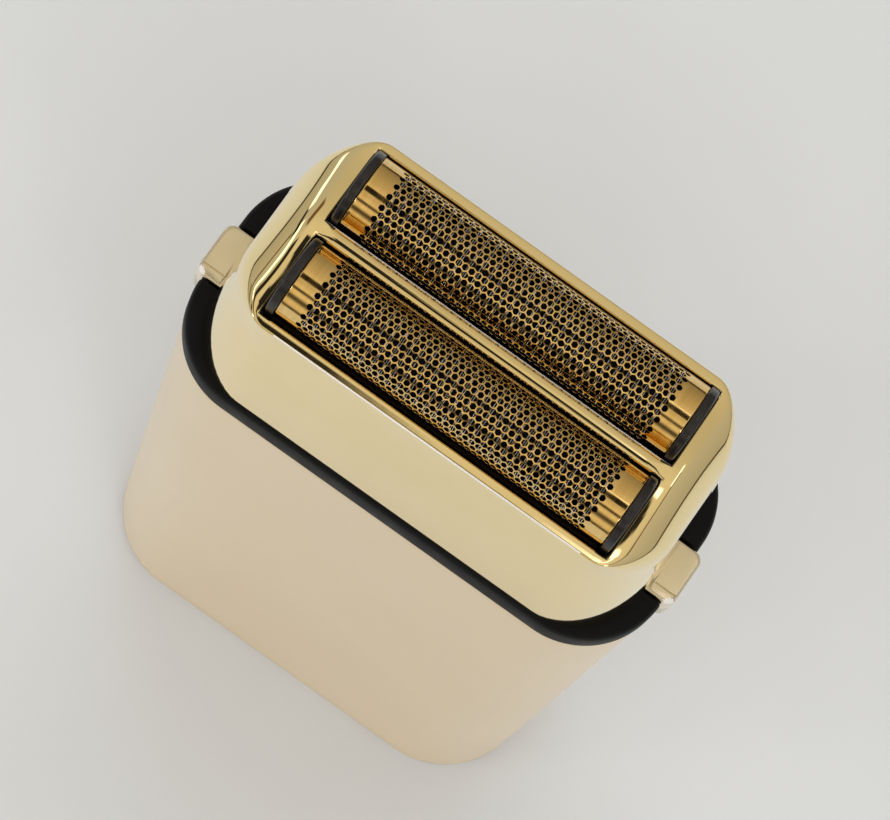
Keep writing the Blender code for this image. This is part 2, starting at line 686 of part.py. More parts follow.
def bevel_edges(obj, width):
    """Round the sharp edges of a piece."""
    mesh = bmesh.new()
    mesh.from_mesh(obj.data)
    sharp = [edge for edge in mesh.edges if edge.calc_face_angle(0.0) > math.radians(40)]
    bmesh.ops.bevel(mesh, geom=sharp, offset=width * MM, segments=2, profile=0.5, affect="EDGES")
    mesh.to_mesh(obj.data)
    mesh.free()


def make_release(word, side, parent):
    """Release button: an outer pad, an arm through the collar and a hooked post inside the head."""
    near, far = sorted((side * RELEASE_X[0], side * RELEASE_X[1]))
    pad = box(f"{word}_release", (near, -RELEASE_Y, RELEASE_Z[0]), (far, RELEASE_Y, RELEASE_Z[1]))
    bevel_edges(pad, 0.7)
    outline = [(25.2, 109.0), (30.6, 109.0), (30.6, 111.4), (26.2, 111.4),
               (26.2, 117.4), (27.0, 117.6), (26.4, 118.6), (25.2, 118.6)]
    outline = [(side * x, z) for x, z in outline]
    if side > 0:
        outline.reverse()
    join(pad, extrude_y("arm", outline, -3.0, 3.0))
    finish(pad, "gold_trim", parent)


# ---- assembly ---------------------------------------------------------------------------------
def build():
    clear_scene()
    rotor = joint_empty("motor_rotor_axis", 0, 0, CAM_Z[0])
    bridge = joint_empty("bridge_axis", 0, 0, STEM_Z[1])
    head = joint_empty("head_axis", 0, 0, HEAD_SECTIONS[0][0])
    button = joint_empty("power_button_axis", 0, BUTTON_FACE_Y, BUTTON_Z)
    tube_of_body("front_shell", True)
    tube_of_body("rear_shell", False)
    make_base()
    make_collar()
    make_deck()
    make_chassis()
    make_battery()
    make_board()
    make_motor(rotor, bridge)
    make_bridge(bridge)
    make_head(head)
    for word, side in (("front", -1), ("rear", 1)):
        cutter = joint_empty(f"{word}_cutter_axis", 0, side * FOIL_Y, CARRIER_Z[0])
        foil = joint_empty(f"{word}_foil_axis", 0, side * FOIL_Y, FOIL_Z)
        make_cutter(word, side, cutter, bridge)
        make_foil(word, side, foil)
    make_power_button(button)
    for word, side in (("left", -1), ("right", 1)):
        middle_z = (RELEASE_Z[0] + RELEASE_Z[1]) / 2
        make_release(word, side, joint_empty(f"{word}_release_axis", side * RELEASE_X[0], 0, middle_z))


build()
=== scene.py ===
"""Looks of the dual-foil shaver: polished gold head, perforated foils, blades, collar and body.

Lengths are in millimetres in the constants and are scaled to metres when a mesh is made.
"""
import json
import math

import bpy
from mathutils import Matrix, Vector


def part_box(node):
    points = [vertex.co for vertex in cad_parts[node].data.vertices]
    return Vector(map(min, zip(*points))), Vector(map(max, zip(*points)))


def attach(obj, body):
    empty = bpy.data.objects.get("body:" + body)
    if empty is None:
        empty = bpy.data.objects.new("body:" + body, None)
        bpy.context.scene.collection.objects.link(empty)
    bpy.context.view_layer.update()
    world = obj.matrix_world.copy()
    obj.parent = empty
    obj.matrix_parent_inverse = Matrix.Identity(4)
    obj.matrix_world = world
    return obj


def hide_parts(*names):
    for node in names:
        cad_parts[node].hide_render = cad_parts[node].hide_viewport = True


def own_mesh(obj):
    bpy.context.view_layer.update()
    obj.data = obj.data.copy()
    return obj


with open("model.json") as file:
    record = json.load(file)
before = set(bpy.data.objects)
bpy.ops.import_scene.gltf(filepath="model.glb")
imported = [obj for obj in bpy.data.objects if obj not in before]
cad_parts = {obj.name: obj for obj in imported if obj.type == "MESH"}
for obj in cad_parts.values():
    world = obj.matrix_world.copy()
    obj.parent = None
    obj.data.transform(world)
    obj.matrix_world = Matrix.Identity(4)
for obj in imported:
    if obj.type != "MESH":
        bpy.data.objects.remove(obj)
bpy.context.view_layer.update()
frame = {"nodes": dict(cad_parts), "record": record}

MM = 0.001


def node_box(node):
    """Lowest and highest corner of a CAD node, in millimetres."""
    low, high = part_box(node)
    return low / MM, high / MM


# ---- driving dimensions, millimetres ----
HEAD_LOW, HEAD_HIGH = node_box("head_cap")
FOIL_LOW, FOIL_HIGH = node_box("rear_foil")
CAP_LOW, CAP_HIGH = node_box("rear_end_cap_right")

HEAD_CROWN = 1.4  # rise of the bar above the long edges
HEAD_EDGE_Z = HEAD_HIGH.z - HEAD_CROWN  # the long top edges
HEAD_RIM_Z = HEAD_LOW.z
HEAD_RIM = (HEAD_HIGH.x, HEAD_HIGH.y)  # half width and half depth at the rim
HEAD_EDGE_Y = 12.9
HEAD_RIM_R = 9.0
PILLOW_Z = 134.0  # where the end walls start to roll over
PILLOW_X = 5.05  # how far they roll in
PILLOW_FULLNESS = 2.25  # 2 would be an ellipse, more is squarer
CORNER_R = (1.9, 8.8)  # plan corner radii at the top and where the roll starts
TOP_X = 23.9  # half width of the flat top
LIP = 0.25  # radius of the windows' and the top's edges
WINDOW_X = 23.3
WINDOW_Y = (1.0, 11.6)
# The section of the bar between the windows, from its middle to its wall, as (distance from the
# middle, drop): a shallow arch and a flat chamfer.
BAR_SECTION = ((0.04, 0.0), (0.22, 0.01), (0.40, 0.032), (0.56, 0.063), (0.70, 0.098), (0.81, 0.131),
               (0.84, 0.145), (0.985, 0.265), (1.0, 0.31))
BAR_BLEND = 2.0  # the bar flattens out over this length at its ends

FOIL_Y = (FOIL_LOW.y + FOIL_HIGH.y) / 2
FOIL_R = (FOIL_HIGH.y - FOIL_LOW.y) / 2
FOIL_QUARTER = FOIL_R * math.pi / 2  # from the top of the arch down to its straight legs
FOIL_Z = FOIL_HIGH.z - FOIL_R
FOIL_X = FOIL_HIGH.x
FOIL_SHEET = 0.09
HOLE_PITCH = 0.864
HOLE_ROWS = 19
HOLE_COLUMNS = 45
HOLE_R = 0.392  # to the corners of a hole, which is a rounded hexagon
HOLE_FLAT = 0.9  # to its flats, as a share of that
HOLE_FLARE = 0.012  # how much wider a hole is at the sheet's outside
HOLE_SINK = 0.025  # how far below the outside its narrow rim lies
BLADE_PITCH = 1.237
BLADE_COUNT = 33
BLADE_R = 4.58
BLADE_THICKNESS = 0.32
BLADE_GROUND = 0.06  # width of the ground line along each edge
BLADE_BEVEL = 0.035

PHOTO_WIDTH = 890
CAMERA_FOCAL_PX = 4875.0
CAMERA_TILT = math.radians(15.4)
CAMERA_SIDE = math.radians(-0.4)
CAMERA_ROLL = math.radians(-35.36)
CAMERA_DISTANCE = 537.9
CAMERA_AIM = (5.18, 6.33)
SENSOR = 36.0


# ---- mesh helpers ----
def raw_object(name, verts, faces):
    """A linked object from points in millimetres."""
    mesh = bpy.data.meshes.new(name)
    mesh.from_pydata([(x * MM, y * MM, z * MM) for x, y, z in verts], [], faces)
    mesh.update()
    obj = bpy.data.objects.new(name, mesh)
    bpy.context.scene.collection.objects.link(obj)
    return obj


def dress(obj, material_list, body, slot, sharp_angle=35.0, face_slots=None):
    """Give an object its materials and smooth shading, and attach it to a body."""
    mesh = obj.data
    mesh.materials.clear()
    for item in material_list:
        mesh.materials.append(item)
    if face_slots:
        mesh.polygons.foreach_set("material_index", face_slots)
    mesh.shade_smooth()
    mesh.set_sharp_from_angle(angle=math.radians(sharp_angle))
    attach(obj, body)
    return obj


def new_mesh(name, verts, faces, *looks):
    """A dressed object from points in millimetres."""
    return dress(raw_object(name, verts, faces), *looks)


def ring_faces(start, count, level):
    """Quads between one closed ring of points and the next."""
    low = start + level * count
    high = low + count
    return [(low + i, low + (i + 1) % count, high + (i + 1) % count, high + i) for i in range(count)]


def ring_solid(rings):
    """Points and faces of a closed solid through rings, with flat ends."""
    count = len(rings[0])
    verts = [point for ring in rings for point in ring]
    faces = []
    for level in range(len(rings) - 1):
        faces += ring_faces(0, count, level)
    faces.append(tuple(reversed(range(count))))
    faces.append(tuple(range(len(verts) - count, len(verts))))
    return verts, faces


def rounded_outline(half_x, half_y, radius, steps):
    """Rounded rectangle, counter-clockwise from its right side."""
    points = []
    for side_x, side_y, start in ((1, 1, 0), (-1, 1, 90), (-1, -1, 180), (1, -1, 270)):
        for step in range(steps + 1):
            angle = math.radians(start + 90 * step / steps)
            points.append((side_x * (half_x - radius) + radius * math.cos(angle),
                           side_y * (half_y - radius) + radius * math.sin(angle)))
    return points


def loft(name, sections, grow=0.0, steps=20):
    """A solid through (z, half width, half depth, corner radius) sections."""
    rings = []
    for z, half_x, half_y, radius in sections:
        outline = rounded_outline(half_x + grow, half_y + grow, radius + grow, steps)
        rings.append([(x, y, z) for x, y in outline])
    return raw_object(name, *ring_solid(rings))


def turned(name, profile, axis="Z", center=(0.0, 0.0, 0.0), segments=64):
    """A solid of revolution through (radius, height) points from the low end to the high end."""
    rings = []
    for radius, height in profile:
        ring = []
        for i in range(segments):
            angle = 2 * math.pi * i / segments
            a = radius * math.cos(angle)
            b = radius * math.sin(angle)
            local = {"Z": (a, b, height), "Y": (b, height, a), "X": (height, a, b)}[axis]
            ring.append(tuple(local[k] + center[k] for k in range(3)))
        rings.append(ring)
    return raw_object(name, *ring_solid(rings))


def combine(target, tool, operation):
    """Apply a Boolean and remove its tool."""
    modifier = target.modifiers.new(operation, "BOOLEAN")
    modifier.operation = operation
    modifier.solver = "EXACT"
    modifier.object = tool
    depsgraph = bpy.context.evaluated_depsgraph_get()
    target.data = bpy.data.meshes.new_from_object(target.evaluated_get(depsgraph))
    target.modifiers.clear()
    bpy.data.objects.remove(tool, do_unlink=True)


def cut(target, tool):
    combine(target, tool, "DIFFERENCE")


def soften(obj, width, segments, angle):
    """Round a piece's sharp edges and keep its flats flat in the shading."""
    modifier = obj.modifiers.new("soft_edges", "BEVEL")
    modifier.width = width * MM
    modifier.segments = segments
    modifier.limit_method = "ANGLE"
    modifier.angle_limit = math.radians(angle)
    modifier.harden_normals = True
    modifier.use_clamp_overlap = True


# ---- materials ----
def node_material(name, color, roughness, metallic=0.0, **sockets):
    """A Principled material, its node tree and its shader."""
    made = bpy.data.materials.new(name)
    made.use_nodes = True
    tree = made.node_tree
    shader = tree.nodes["Principled BSDF"]
    shader.inputs["Base Color"].default_value = (*color, 1.0)
    for socket, value in dict(sockets, Roughness=roughness, Metallic=metallic).items():
        shader.inputs[socket.replace("_", " ")].default_value = value
    return made, tree, shader


def add(tree, kind, **values):
    """Add a node and set its properties and input defaults."""
    node = tree.nodes.new(kind)
    for key, value in values.items():
        if hasattr(node, key):
            setattr(node, key, value)
        else:
            node.inputs[key.replace("_", " ")].default_value = value
    return node


def object_noise(tree, scale, detail, roughness=0.55, stretch=(1, 1, 1)):
    """Noise in object coordinates, in metres, optionally stretched along an axis."""
    coords = add(tree, "ShaderNodeTexCoord")
    mapping = add(tree, "ShaderNodeMapping", Scale=stretch)
    noise = add(tree, "ShaderNodeTexNoise", Scale=scale, Detail=detail, Roughness=roughness)
    tree.links.new(coords.outputs["Object"], mapping.inputs["Vector"])
    tree.links.new(mapping.outputs["Vector"], noise.inputs["Vector"])
    return noise.outputs["Fac"]


def remap(tree, source, low, high, from_low=0.3, from_high=0.7):
    """Stretch a value's range; noise mostly lies between 0.3 and 0.7."""
    node = add(tree, "ShaderNodeMapRange", From_Min=from_low, From_Max=from_high,
               To_Min=low, To_Max=high)
    tree.links.new(source, node.inputs["Value"])
    return node.outputs["Result"]


def feed(tree, socket, value):
    """Link a socket to another socket, or set it to a constant."""
    if isinstance(value, bpy.types.NodeSocket):
        tree.links.new(value, socket)
    else:
        socket.default_value = value


def mix_color(tree, factor, first, second):
    """Blend two colours; each is a tuple or a socket."""
    node = add(tree, "ShaderNodeMix", data_type="RGBA")
    for number, value in ((0, factor), (6, first), (7, second)):
        feed(tree, node.inputs[number], (*value, 1.0) if isinstance(value, tuple) else value)
    return node.outputs[2]


def add_bump(tree, shader, height, strength, distance_mm):
    bump = add(tree, "ShaderNodeBump", Strength=strength, Distance=distance_mm * MM)
    tree.links.new(height, bump.inputs["Height"])
    tree.links.new(bump.outputs["Normal"], shader.inputs["Normal"])


def two_tone(tree, shader, noise, first, second, *noise_range):
    """Let the base colour wander between two tones."""
    shade = remap(tree, noise, 0.0, 1.0, *noise_range)
    tree.links.new(mix_color(tree, shade, first, second), shader.inputs["Base Color"])


def vary_gloss(tree, shader, noise, low, high, *noise_range):
    """Let the roughness wander between two values."""
    tree.links.new(remap(tree, noise, low, high, *noise_range), shader.inputs["Roughness"])


def polished_metal(name, light, deep, roughness, smudge, metallic=1.0):
    """Plated metal: faint colour drift, handling smudges in the gloss and a slight orange peel."""
    made, tree, shader = node_material(name, light, roughness, metallic)
    two_tone(tree, shader, object_noise(tree, 60.0, 3.0), light, deep)
    marks = object_noise(tree, 420.0, 6.0, 0.65)
    vary_gloss(tree, shader, marks, roughness, roughness + smudge, 0.42, 0.75)
    add_bump(tree, shader, object_noise(tree, 900.0, 2.0), 0.02, 0.05)
    return made


def satin_metal(name, light, deep, roughness):
    """Bead-blasted anodised metal: fine grain, slow colour drift and rub marks."""
    made, tree, shader = node_material(name, light, roughness, 0.6)
    two_tone(tree, shader, object_noise(tree, 30.0, 4.0), light, deep)
    rub = object_noise(tree, 45.0, 3.0, 0.5, (1.0, 1.0, 0.35))
    vary_gloss(tree, shader, rub, roughness - 0.02, roughness + 0.04)
    add_bump(tree, shader, object_noise(tree, 5200.0, 2.0), 0.12, 0.02)
    return made


def foil_metal(name, light, deep):
    """Electroformed gold foil: bright, with drawn streaks across the arch."""
    made, tree, shader = node_material(name, light, 0.14, 1.0)
    streaks = object_noise(tree, 1500.0, 4.0, 0.6, (1.0, 0.06, 0.06))
    two_tone(tree, shader, streaks, light, deep)
    vary_gloss(tree, shader, object_noise(tree, 700.0, 5.0, 0.6), 0.045, 0.13)
    add_bump(tree, shader, streaks, 0.05, 0.01)
    return made


def steel_metal(name, color, roughness, stretch):
    """Ground steel with a directional grain."""
    made, tree, shader = node_material(name, color, roughness, 1.0)
    grain = object_noise(tree, 2600.0, 4.0, 0.6, stretch)
    two_tone(tree, shader, grain, color, tuple(value * 0.78 for value in color))
    vary_gloss(tree, shader, grain, roughness, roughness + 0.12)
    add_bump(tree, shader, grain, 0.08, 0.01)
    return made


def moulded_plastic(name, color, roughness, coat=0.0, shine=0.5, grain_size=2400.0, grain_depth=0.15):
    """Injection-moulded plastic: spark-eroded grain, dust-dulled patches."""
    made, tree, shader = node_material(name, color, roughness, Coat_Weight=coat,
                                       Specular_IOR_Level=shine, Coat_Roughness=0.12)
    patches = object_noise(tree, 220.0, 6.0, 0.6)
    two_tone(tree, shader, patches, color, tuple(value * 1.5 + 0.002 for value in color), 0.45, 0.8)
    vary_gloss(tree, shader, patches, roughness, roughness + 0.15)
    add_bump(tree, shader, object_noise(tree, grain_size, 2.0), grain_depth, 0.02)
    return made


def make_materials():
    """Every material, by name: its maker and what the maker needs."""
    recipes = {
        "gold_head": (polished_metal, (1.0, 0.84, 0.48), (0.98, 0.80, 0.43), 0.03, 0.035),
        "gold_trim": (polished_metal, (0.93, 0.86, 0.72), (0.88, 0.79, 0.62), 0.2, 0.08),
        # painted highlight: a near-white, nearly non-metallic finish for thin edges and corners that should
        # read as white glints
        "painted_highlight": (polished_metal, (0.97, 0.94, 0.96), (0.93, 0.89, 0.90), 0.3, 0.1, 0.1),
        "gold_body": (satin_metal, (0.97, 0.815, 0.59), (0.94, 0.78, 0.55), 0.30),
        "gold_foil": (foil_metal, (0.94, 0.68, 0.30), (0.82, 0.55, 0.20)),
        "steel": (steel_metal, (0.93, 0.94, 1.0), 0.3, (1.0, 0.1, 0.1)),
        "zinc": (steel_metal, (0.50, 0.51, 0.53), 0.32, (1.0, 1.0, 0.1)),
        "nickel": (steel_metal, (0.70, 0.68, 0.62), 0.20, (1.0, 1.0, 1.0)),
        "black_plastic": (moulded_plastic, (0.010, 0.009, 0.011), 0.34, 0.1, 0.3),
        "gloss_black": (moulded_plastic, (0.006, 0.005, 0.008), 0.2, 0.0, 0.6),
        "matte_black": (moulded_plastic, (0.004, 0.004, 0.005), 0.45, 0.0, 0.12),
        # painted shade: near-black steel for the blades' flat sides and tops
        "blade_painted_shade": (steel_metal, (0.03, 0.03, 0.033), 0.4, (1.0, 0.1, 0.1)),
        "dark_plastic": (moulded_plastic, (0.035, 0.036, 0.04), 0.5),
        "battery_wrap": (moulded_plastic, (0.03, 0.16, 0.07), 0.35, 0.2),
        "board_green": (moulded_plastic, (0.01, 0.12, 0.05), 0.45),
        "rubber": (moulded_plastic, (0.02, 0.02, 0.02), 0.75, 0.0, 0.3, 1500.0, 0.3),
        "lens": (moulded_plastic, (0.75, 0.78, 0.80), 0.15, 0.5, 0.5, 900.0, 0.05),
    }
    return {name: maker(name, *values) for name, (maker, *values) in recipes.items()}


# ---- head cap ----
LONG_STEPS = 60  # points along each long side
WINDOW_STEPS = 14  # points across each window's end
CORNER_STEPS = 16
SKIRT_STEPS = 6  # rings up the wall, over the rolled ends and round the top's edge
ROLL_STEPS = 24
EDGE_STEPS = 5
HEAD_WALL = 1.1  # thickness of the walls and of the top along its long edges
HEAD_ROOF = 1.2
INNER_TOP_INSET = 0.15


def wall_half_depth(z):
    """Half depth of the head's nearly upright front and back walls at a height."""
    share = max(z - HEAD_RIM_Z, 0.0) / (HEAD_EDGE_Z - HEAD_RIM_Z)
    return HEAD_RIM[1] + (HEAD_EDGE_Y - HEAD_RIM[1]) * share ** 1.3


def crown(y):
    """Rise of the top above its long edges: flat along the edges and over the bar."""
    share = min(abs(y) / HEAD_EDGE_Y, 1.0)
    return HEAD_CROWN * (1.0 + math.cos(math.pi * share)) / 2


def head_outline(half_x, half_y, radius):
    """Outline whose points line up with the windows: right end, back, left end, front."""
    flat_x = half_x - radius
    flat_y = half_y - radius
    split = WINDOW_Y[0] / WINDOW_Y[1] * flat_y
    rear_side = [split + (flat_y - split) * i / WINDOW_STEPS for i in range(WINDOW_STEPS + 1)]
    end = [-y for y in reversed(rear_side)] + rear_side
    long_side = [flat_x * (1 - 2 * i / LONG_STEPS) for i in range(LONG_STEPS + 1)]

    def corner(center_x, center_y, start):
        points = []
        for step in range(1, CORNER_STEPS):
            angle = math.radians(start + 90 * step / CORNER_STEPS)
            points.append((center_x + radius * math.cos(angle), center_y + radius * math.sin(angle)))
        return points

    points = []
    for sign, start in ((1, 0), (-1, 180)):
        points += [(sign * half_x, sign * y) for y in end]
        points += corner(sign * flat_x, sign * flat_y, start)
        points += [(sign * x, sign * half_y) for x in long_side]
        points += corner(-sign * flat_x, sign * flat_y, start + 90)
    return points


def head_rings(inner):
    """Rings from the rim up to the edge of the flat top, outside or inside the wall."""
    wall = HEAD_WALL if inner else 0.0
    top_x = TOP_X - (INNER_TOP_INSET if inner else 0.0)
    roll = PILLOW_X - wall + (TOP_X - top_x)
    edge_z = HEAD_EDGE_Z - (HEAD_ROOF if inner else 0.0)
    rise = edge_z - PILLOW_Z
    rim_x = HEAD_RIM[0] - wall
    base_x = top_x + roll
    rings = []

    def add_ring(half_x, half_y, radius, side_z, share):
        outline = head_outline(half_x, half_y, max(radius, 0.12))
        rings.append([(x, y, side_z + share * crown(y)) for x, y in outline])

    def corner_radius(half_x):
        share = max(half_x - top_x, 0.0) / roll
        return CORNER_R[0] + (CORNER_R[1] - CORNER_R[0]) * share ** 1.25

    def roll_place(angle):
        power = 2 / PILLOW_FULLNESS
        half_x = top_x + roll * max(math.cos(angle), 0.0) ** power
        return half_x, PILLOW_Z + rise * math.sin(angle) ** power

    base_radius = corner_radius(base_x)
    for step in range(SKIRT_STEPS):
        share = step / SKIRT_STEPS
        z = HEAD_RIM_Z + (PILLOW_Z - HEAD_RIM_Z) * share
        radius = (HEAD_RIM_R - wall) * (1 - share) + base_radius * share
        half_x = rim_x + (base_x - rim_x) * share * share
        add_ring(half_x, wall_half_depth(z) - wall, radius, z, 0.0)
    edge_angle = math.asin(((rise - LIP) / rise) ** (PILLOW_FULLNESS / 2))
    for step in range(ROLL_STEPS + 1):
        angle = edge_angle * step / ROLL_STEPS
        half_x, z = roll_place(angle)
        add_ring(half_x, wall_half_depth(z) - wall, corner_radius(half_x), z, math.sin(angle) ** 2)
    start_y = wall_half_depth(edge_z - LIP) - wall
    for step in range(1, EDGE_STEPS + 1):
        turn = math.pi / 2 * step / EDGE_STEPS
        angle = edge_angle + (math.pi / 2 - edge_angle) * step / EDGE_STEPS
        half_x = roll_place(angle)[0]
        z = edge_z - LIP + LIP * math.sin(turn)
        half_y = start_y - LIP * (1 - math.cos(turn))
        add_ring(half_x, half_y, corner_radius(half_x), z, math.sin(angle) ** 2)
    return rings


LIP_STEPS = len(BAR_SECTION) - 1


def window_loop(side, step, depth=0.0):
    """Outline of a window: right end, back, left end, front, without repeats.

    step runs over the rounded edge, from 0 on the top to LIP_STEPS on the window's wall;
    depth is the distance further down that wall.
    """
    turn = math.pi / 2 * step / LIP_STEPS
    inward = LIP * (1 - math.sin(turn))
    down = LIP * (1 - math.cos(turn))
    x = WINDOW_X + inward
    near, far = WINDOW_Y[0] - inward, WINDOW_Y[1] + inward

    def point(px, py, drop):
        return (px, side * py, HEAD_EDGE_Z + crown(py) - drop - depth)

    def bar_point(px):
        share = min(max((WINDOW_X - abs(px)) / BAR_BLEND, 0.0), 1.0)
        share = share * share * (3 - 2 * share)
        middle, drop = BAR_SECTION[step]
        return point(px, near + (middle - near) * share, down + (drop - down) * share)

    def long_points(sign, on_bar):
        result = []
        for i in range(LONG_STEPS):
            px = sign * x * (1 - 2 * i / LONG_STEPS)
            result.append(bar_point(px) if on_bar else point(px, far, down))
        return result

    def end_points(px, start, stop):
        return [point(px, start + (stop - start) * i / WINDOW_STEPS, down) for i in range(WINDOW_STEPS)]

    start, stop, on_bar = (near, far, False) if side > 0 else (far, near, True)
    return (end_points(x, start, stop) + long_points(1, on_bar)
            + end_points(-x, stop, start) + long_points(-1, not on_bar))


def top_patch(ring_start, rear, front):
    """Faces of the flat top between the outer ring and the two windows' loops."""
    parts = []
    at = ring_start
    for count in (2 * WINDOW_STEPS + 2, CORNER_STEPS - 1, LONG_STEPS + 1, CORNER_STEPS - 1) * 2:
        parts.append(list(range(at, at + count)))
        at += count
    right, back, left, front_edge = parts[::2]
    corners = parts[1::2]
    faces = []

    def loop_sides(start):
        index = list(range(start, start + 2 * (WINDOW_STEPS + LONG_STEPS))) + [start]
        a, b = WINDOW_STEPS, WINDOW_STEPS + LONG_STEPS
        return index[:a + 1], index[a:b + 1], index[b:b + a + 1], index[b + a:]

    def strip(outer, inner):
        for i in range(len(outer) - 1):
            faces.append((outer[i], outer[i + 1], inner[i + 1], inner[i]))

    def fan(first, middle, last, hub):
        chain = [first] + middle + [last]
        for pair in zip(chain, chain[1:]):
            faces.append((*pair, hub))

    rear_right, rear_back, rear_left, rear_bar = loop_sides(rear)
    front_right, front_bar, front_left, front_front = loop_sides(front)
    strip(right, front_right + rear_right)
    strip(back, rear_back)
    strip(left, rear_left + front_left)
    strip(front_edge, front_front)
    strip(rear_bar[::-1], front_bar)
    fan(right[-1], corners[0], back[0], rear_back[0])
    fan(back[-1], corners[1], left[0], rear_left[0])
    fan(left[-1], corners[2], front_edge[0], front_front[0])
    fan(front_edge[-1], corners[3], right[0], front_right[0])
    return faces


# face slots of the head cap: gold; black, which is painted shade on the window walls and the cap's inside;
# a painted highlight for thin white edge lines
GOLD, SHADE_BLACK, PAINTED_HIGHLIGHT = range(3)


def rear_side_numbers():
    """Numbers of the faces along the rear long edge, within one band of faces between two rings."""
    first = 2 * WINDOW_STEPS + 2 + CORNER_STEPS - 1
    return range(first + 2, first + LONG_STEPS - 2)


def make_head_cap(materials):
    verts = []
    faces = []
    face_slots = []

    def add_faces(more, used, flip=False):
        for face in more:
            faces.append(tuple(reversed(face)) if flip else tuple(face))
            face_slots.append(used)

    def add_rings(rings, used, flip):
        start = len(verts)
        count = len(rings[0])
        for ring in rings:
            verts.extend(ring)
        for level in range(len(rings) - 1):
            add_faces(ring_faces(start, count, level), used, flip)
        return start, start + (len(rings) - 1) * count

    outer_first, outer_last = add_rings(head_rings(False), GOLD, False)
    count = len(head_outline(20, 10, 1))
    # painted highlight: a white line along the rear long edge of the top, over the last bands of the
    # rounded edge
    for band in (4, 3, 2):
        for number in rear_side_numbers():
            face_slots[len(faces) - band * count + number] = PAINTED_HIGHLIGHT
    inner_first, inner_last = add_rings(head_rings(True), SHADE_BLACK, True)
    for i in range(count):
        j = (i + 1) % count
        add_faces([(outer_first + j, outer_first + i, inner_first + i, inner_first + j)], GOLD)
    window_starts = {}
    for side in (1, -1):
        loops = [window_loop(side, step) for step in range(LIP_STEPS + 1)]
        gold_levels = len(loops)
        # further down, the window walls are painted black: painted shade inside the head
        loops += [window_loop(side, LIP_STEPS, depth) for depth in (0.3, 0.95)]
        start = len(verts)
        size = len(loops[0])
        for loop in loops:
            verts.extend(loop)
        for level in range(len(loops) - 1):
            for number, face in enumerate(ring_faces(start, size, level)):
                # the chamfer on the bar's front side carries a painted highlight line
                on_chamfer = side < 0 and level == LIP_STEPS - 2 and WINDOW_STEPS <= number < size // 2
                used = SHADE_BLACK if level >= gold_levels else PAINTED_HIGHLIGHT if on_chamfer else GOLD
                add_faces([face], used, True)
        window_starts[side] = (start, start + (len(loops) - 1) * size)
    add_faces(top_patch(outer_last, window_starts[1][0], window_starts[-1][0]), GOLD)
    add_faces(top_patch(inner_last, window_starts[1][1], window_starts[-1][1]), SHADE_BLACK, True)
    used = [materials["gold_head"], materials["black_plastic"], materials["painted_highlight"]]
    piece = new_mesh("gold_head_cap", verts, faces, used, "head", "gold_head", 50.0, face_slots)
    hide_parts("head_cap")


# ---- foils ----
def wrap(center_y, x, v, lift=0.0):
    """A point of the flat foil sheet laid over the arch: v is the distance over the top."""
    radius = FOIL_R + lift
    if abs(v) <= FOIL_QUARTER:
        angle = v / FOIL_R
        return (x, center_y + radius * math.sin(angle), FOIL_Z + radius * math.cos(angle))
    side = 1 if v > 0 else -1
    return (x, center_y + side * radius, FOIL_Z - (abs(v) - FOIL_QUARTER))


